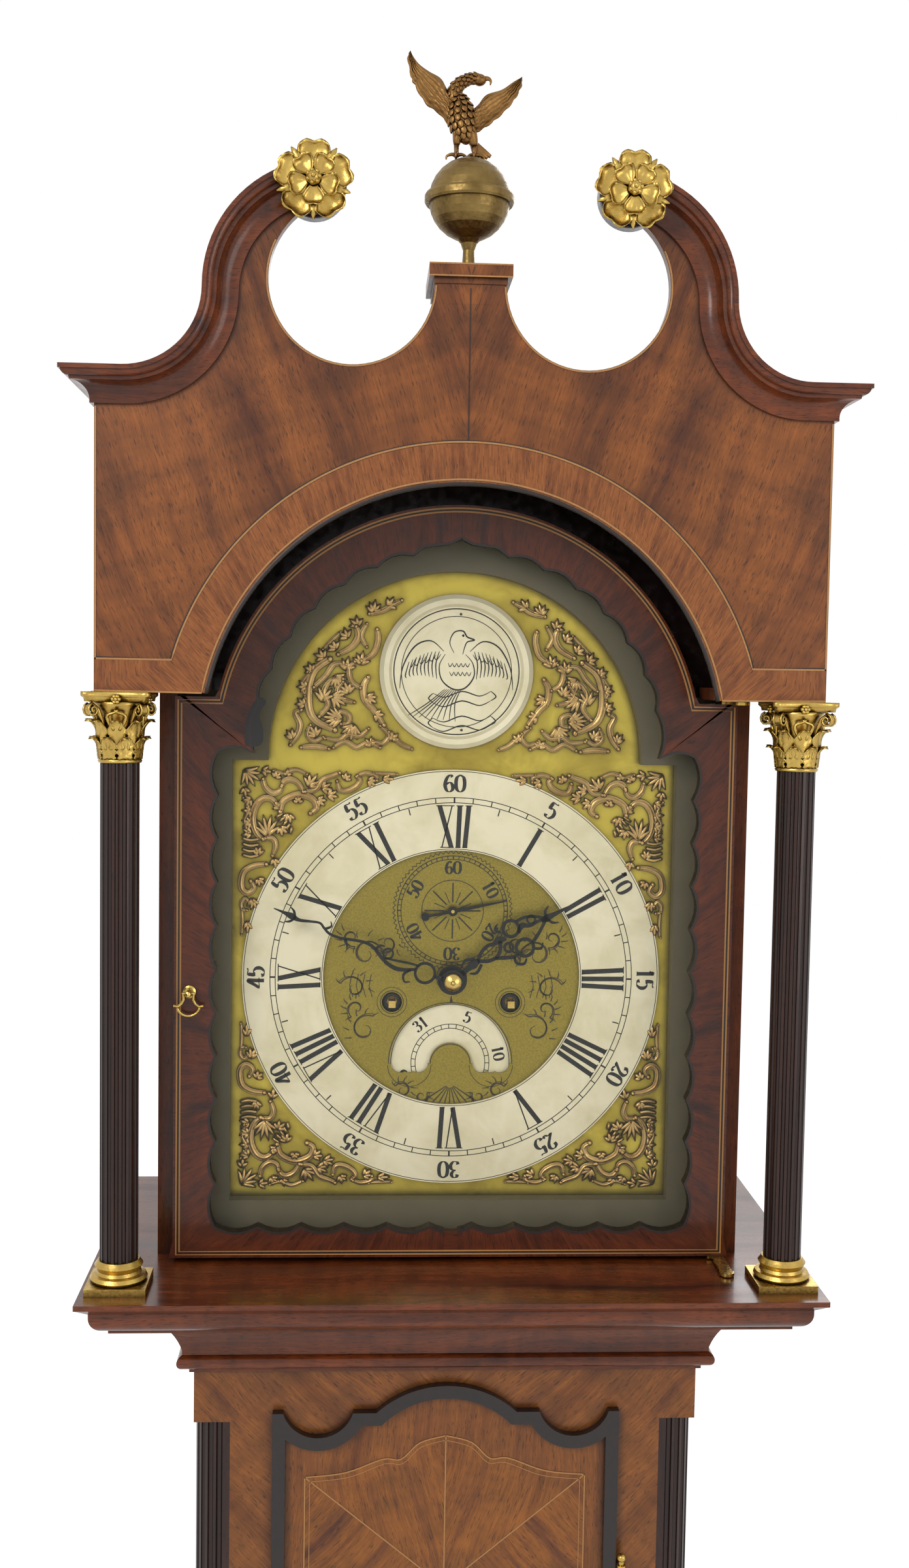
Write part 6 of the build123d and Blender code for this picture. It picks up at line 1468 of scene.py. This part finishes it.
def seen_as_backdrop(tree):
    """1 for camera, glossy and transmission rays, so that metal and glass show the white backdrop too."""
    ray = add(tree, "ShaderNodeLightPath")
    first = add(tree, "ShaderNodeMath", {0: ray.outputs["Is Camera Ray"], 1: ray.outputs["Is Glossy Ray"]},
                operation="MAXIMUM")
    return add(tree, "ShaderNodeMath", {0: first.outputs[0], 1: ray.outputs["Is Transmission Ray"]},
               operation="MAXIMUM").outputs[0]


class CLOCK_OT_stage(bpy.types.Operator):
    """Set up the floor, the soft lights and the camera"""
    bl_idname = "clock.stage"
    bl_label = "Stage"

    def execute(self, context):
        scene = context.scene
        scene.view_settings.view_transform = "Standard"
        mesh = bpy.data.meshes.new("floor")
        mesh.from_pydata([(-9, -9, 0), (9, -9, 0), (9, 9, 0), (-9, 9, 0)], [], [(0, 1, 2, 3)])
        floor = bpy.data.objects.new("floor", mesh)
        scene.collection.objects.link(floor)
        material, tree, shader = new_material("studio floor, matt white")
        place = add(tree, "ShaderNodeTexCoord").outputs["Object"]
        mottle = add(tree, "ShaderNodeTexNoise", {0: place, "Scale": 2.0, "Detail": 3.0})
        shade = add(tree, "ShaderNodeMapRange", {0: mottle.outputs[0], 3: 0.86, 4: 0.9})
        tint = add(tree, "ShaderNodeCombineXYZ", {0: shade.outputs[0], 1: shade.outputs[0], 2: shade.outputs[0]})
        tree.links.new(tint.outputs[0], shader.inputs["Base Color"])
        shader.inputs["Roughness"].default_value = 0.8
        # The camera, and metal and glass, see the floor as a white studio sweep that still takes the shadow
        direct = seen_as_backdrop(tree)
        away = add(tree, "ShaderNodeVectorMath", {0: place}, operation="LENGTH")
        sweep = add(tree, "ShaderNodeMapRange", {0: away.outputs["Value"], 1: 1.0, 2: 3.5, 3: 0.34, 4: 0.6})
        glow = add(tree, "ShaderNodeMath", {0: sweep.outputs[0], 1: direct}, operation="MULTIPLY")
        shader.inputs["Emission Color"].default_value = tone("#FFFFFF")
        tree.links.new(glow.outputs[0], shader.inputs["Emission Strength"])
        mesh.materials.append(material)
        world = bpy.data.worlds.new("studio")
        scene.world = world
        world.use_nodes = True
        tree = world.node_tree
        tree.nodes.clear()
        level = add(tree, "ShaderNodeMapRange", {0: seen_as_backdrop(tree), 3: 0.5, 4: 1.0})
        back = add(tree, "ShaderNodeBackground", {"Color": (1, 1, 1, 1), "Strength": level.outputs[0]})
        out = add(tree, "ShaderNodeOutputWorld")
        tree.links.new(back.outputs[0], out.inputs[0])
        for name, place, size, power in (("key", (-1.5, -2.3, 3.1), 1.3, 34), ("fill", (1.9, -2.0, 2.0), 1.6, 14),
                                         ("back_rim", (0.8, 2.2, 3.0), 1.2, 12)):
            lamp = bpy.data.lights.new(name, "AREA")
            lamp.shape = "DISK"
            lamp.size = size
            lamp.energy = power
            shown = bpy.data.objects.new(name, lamp)
            shown.location = place
            aim = Vector((0, 0, 1.75)) - Vector(place)
            shown.rotation_euler = aim.to_track_quat("-Z", "Y").to_euler()
            scene.collection.objects.link(shown)
        self.camera(scene)
        return {"FINISHED"}

    def camera(self, scene):
        yaw, pitch, roll = 0.0554, 0.0666, 0.016
        ahead = Vector((math.sin(yaw) * math.cos(pitch), math.cos(yaw) * math.cos(pitch), -math.sin(pitch)))
        right = Vector((math.cos(yaw), -math.sin(yaw), 0))
        up = right.cross(ahead)
        tilted = right * math.cos(roll) + up * math.sin(roll)
        up = up * math.cos(roll) - right * math.sin(roll)
        lens = bpy.data.cameras.new("camera")
        # Fitted to the photograph's perspective, with the camera's place in metres
        lens.lens = 37.26
        lens.sensor_width = 36
        lens.clip_start = 0.05
        shown = bpy.data.objects.new("camera", lens)
        matrix = Matrix((tilted, up, -ahead)).transposed().to_4x4()
        matrix.translation = Vector((-0.0622, -1.1349, 1.9093))
        shown.matrix_world = matrix
        scene.collection.objects.link(shown)
        scene.camera = shown


OPERATORS = (CLOCK_OT_finish, CLOCK_OT_frieze, CLOCK_OT_hood_door, CLOCK_OT_trunk, CLOCK_OT_dial,
             CLOCK_OT_spandrels, CLOCK_OT_hands, CLOCK_OT_capitals, CLOCK_OT_rosettes, CLOCK_OT_eagle,
             CLOCK_OT_stage)


class CLOCK_PT_panel(bpy.types.Panel):
    """Sizes, colours and steps of the clock's finish"""
    bl_idname = "CLOCK_PT_panel"
    bl_label = "Longcase clock"
    bl_space_type = "VIEW_3D"
    bl_region_type = "UI"
    bl_category = "Clock"

    def draw(self, context):
        column = self.layout.column()
        for group in settings():
            for key in group.bl_rna.properties.keys():
                if key not in ("rna_type", "name"):
                    column.prop(group, key)
        for step in OPERATORS:
            column.operator(step.bl_idname)


CLASSES = (ClockSizes, ClockColours) + OPERATORS + (CLOCK_PT_panel,)


def register():
    for item in CLASSES:
        bpy.utils.register_class(item)
    bpy.types.Scene.clock_sizes = PointerProperty(type=ClockSizes)
    bpy.types.Scene.clock_colours = PointerProperty(type=ClockColours)


def unregister():
    del bpy.types.Scene.clock_sizes
    del bpy.types.Scene.clock_colours
    for item in reversed(CLASSES):
        bpy.utils.unregister_class(item)


def main():
    register()
    for step in (bpy.ops.clock.finish, bpy.ops.clock.frieze, bpy.ops.clock.hood_door, bpy.ops.clock.trunk,
                 bpy.ops.clock.dial, bpy.ops.clock.spandrels, bpy.ops.clock.hands, bpy.ops.clock.capitals,
                 bpy.ops.clock.rosettes, bpy.ops.clock.eagle, bpy.ops.clock.stage):
        step()


if __name__ == "__main__":
    main()
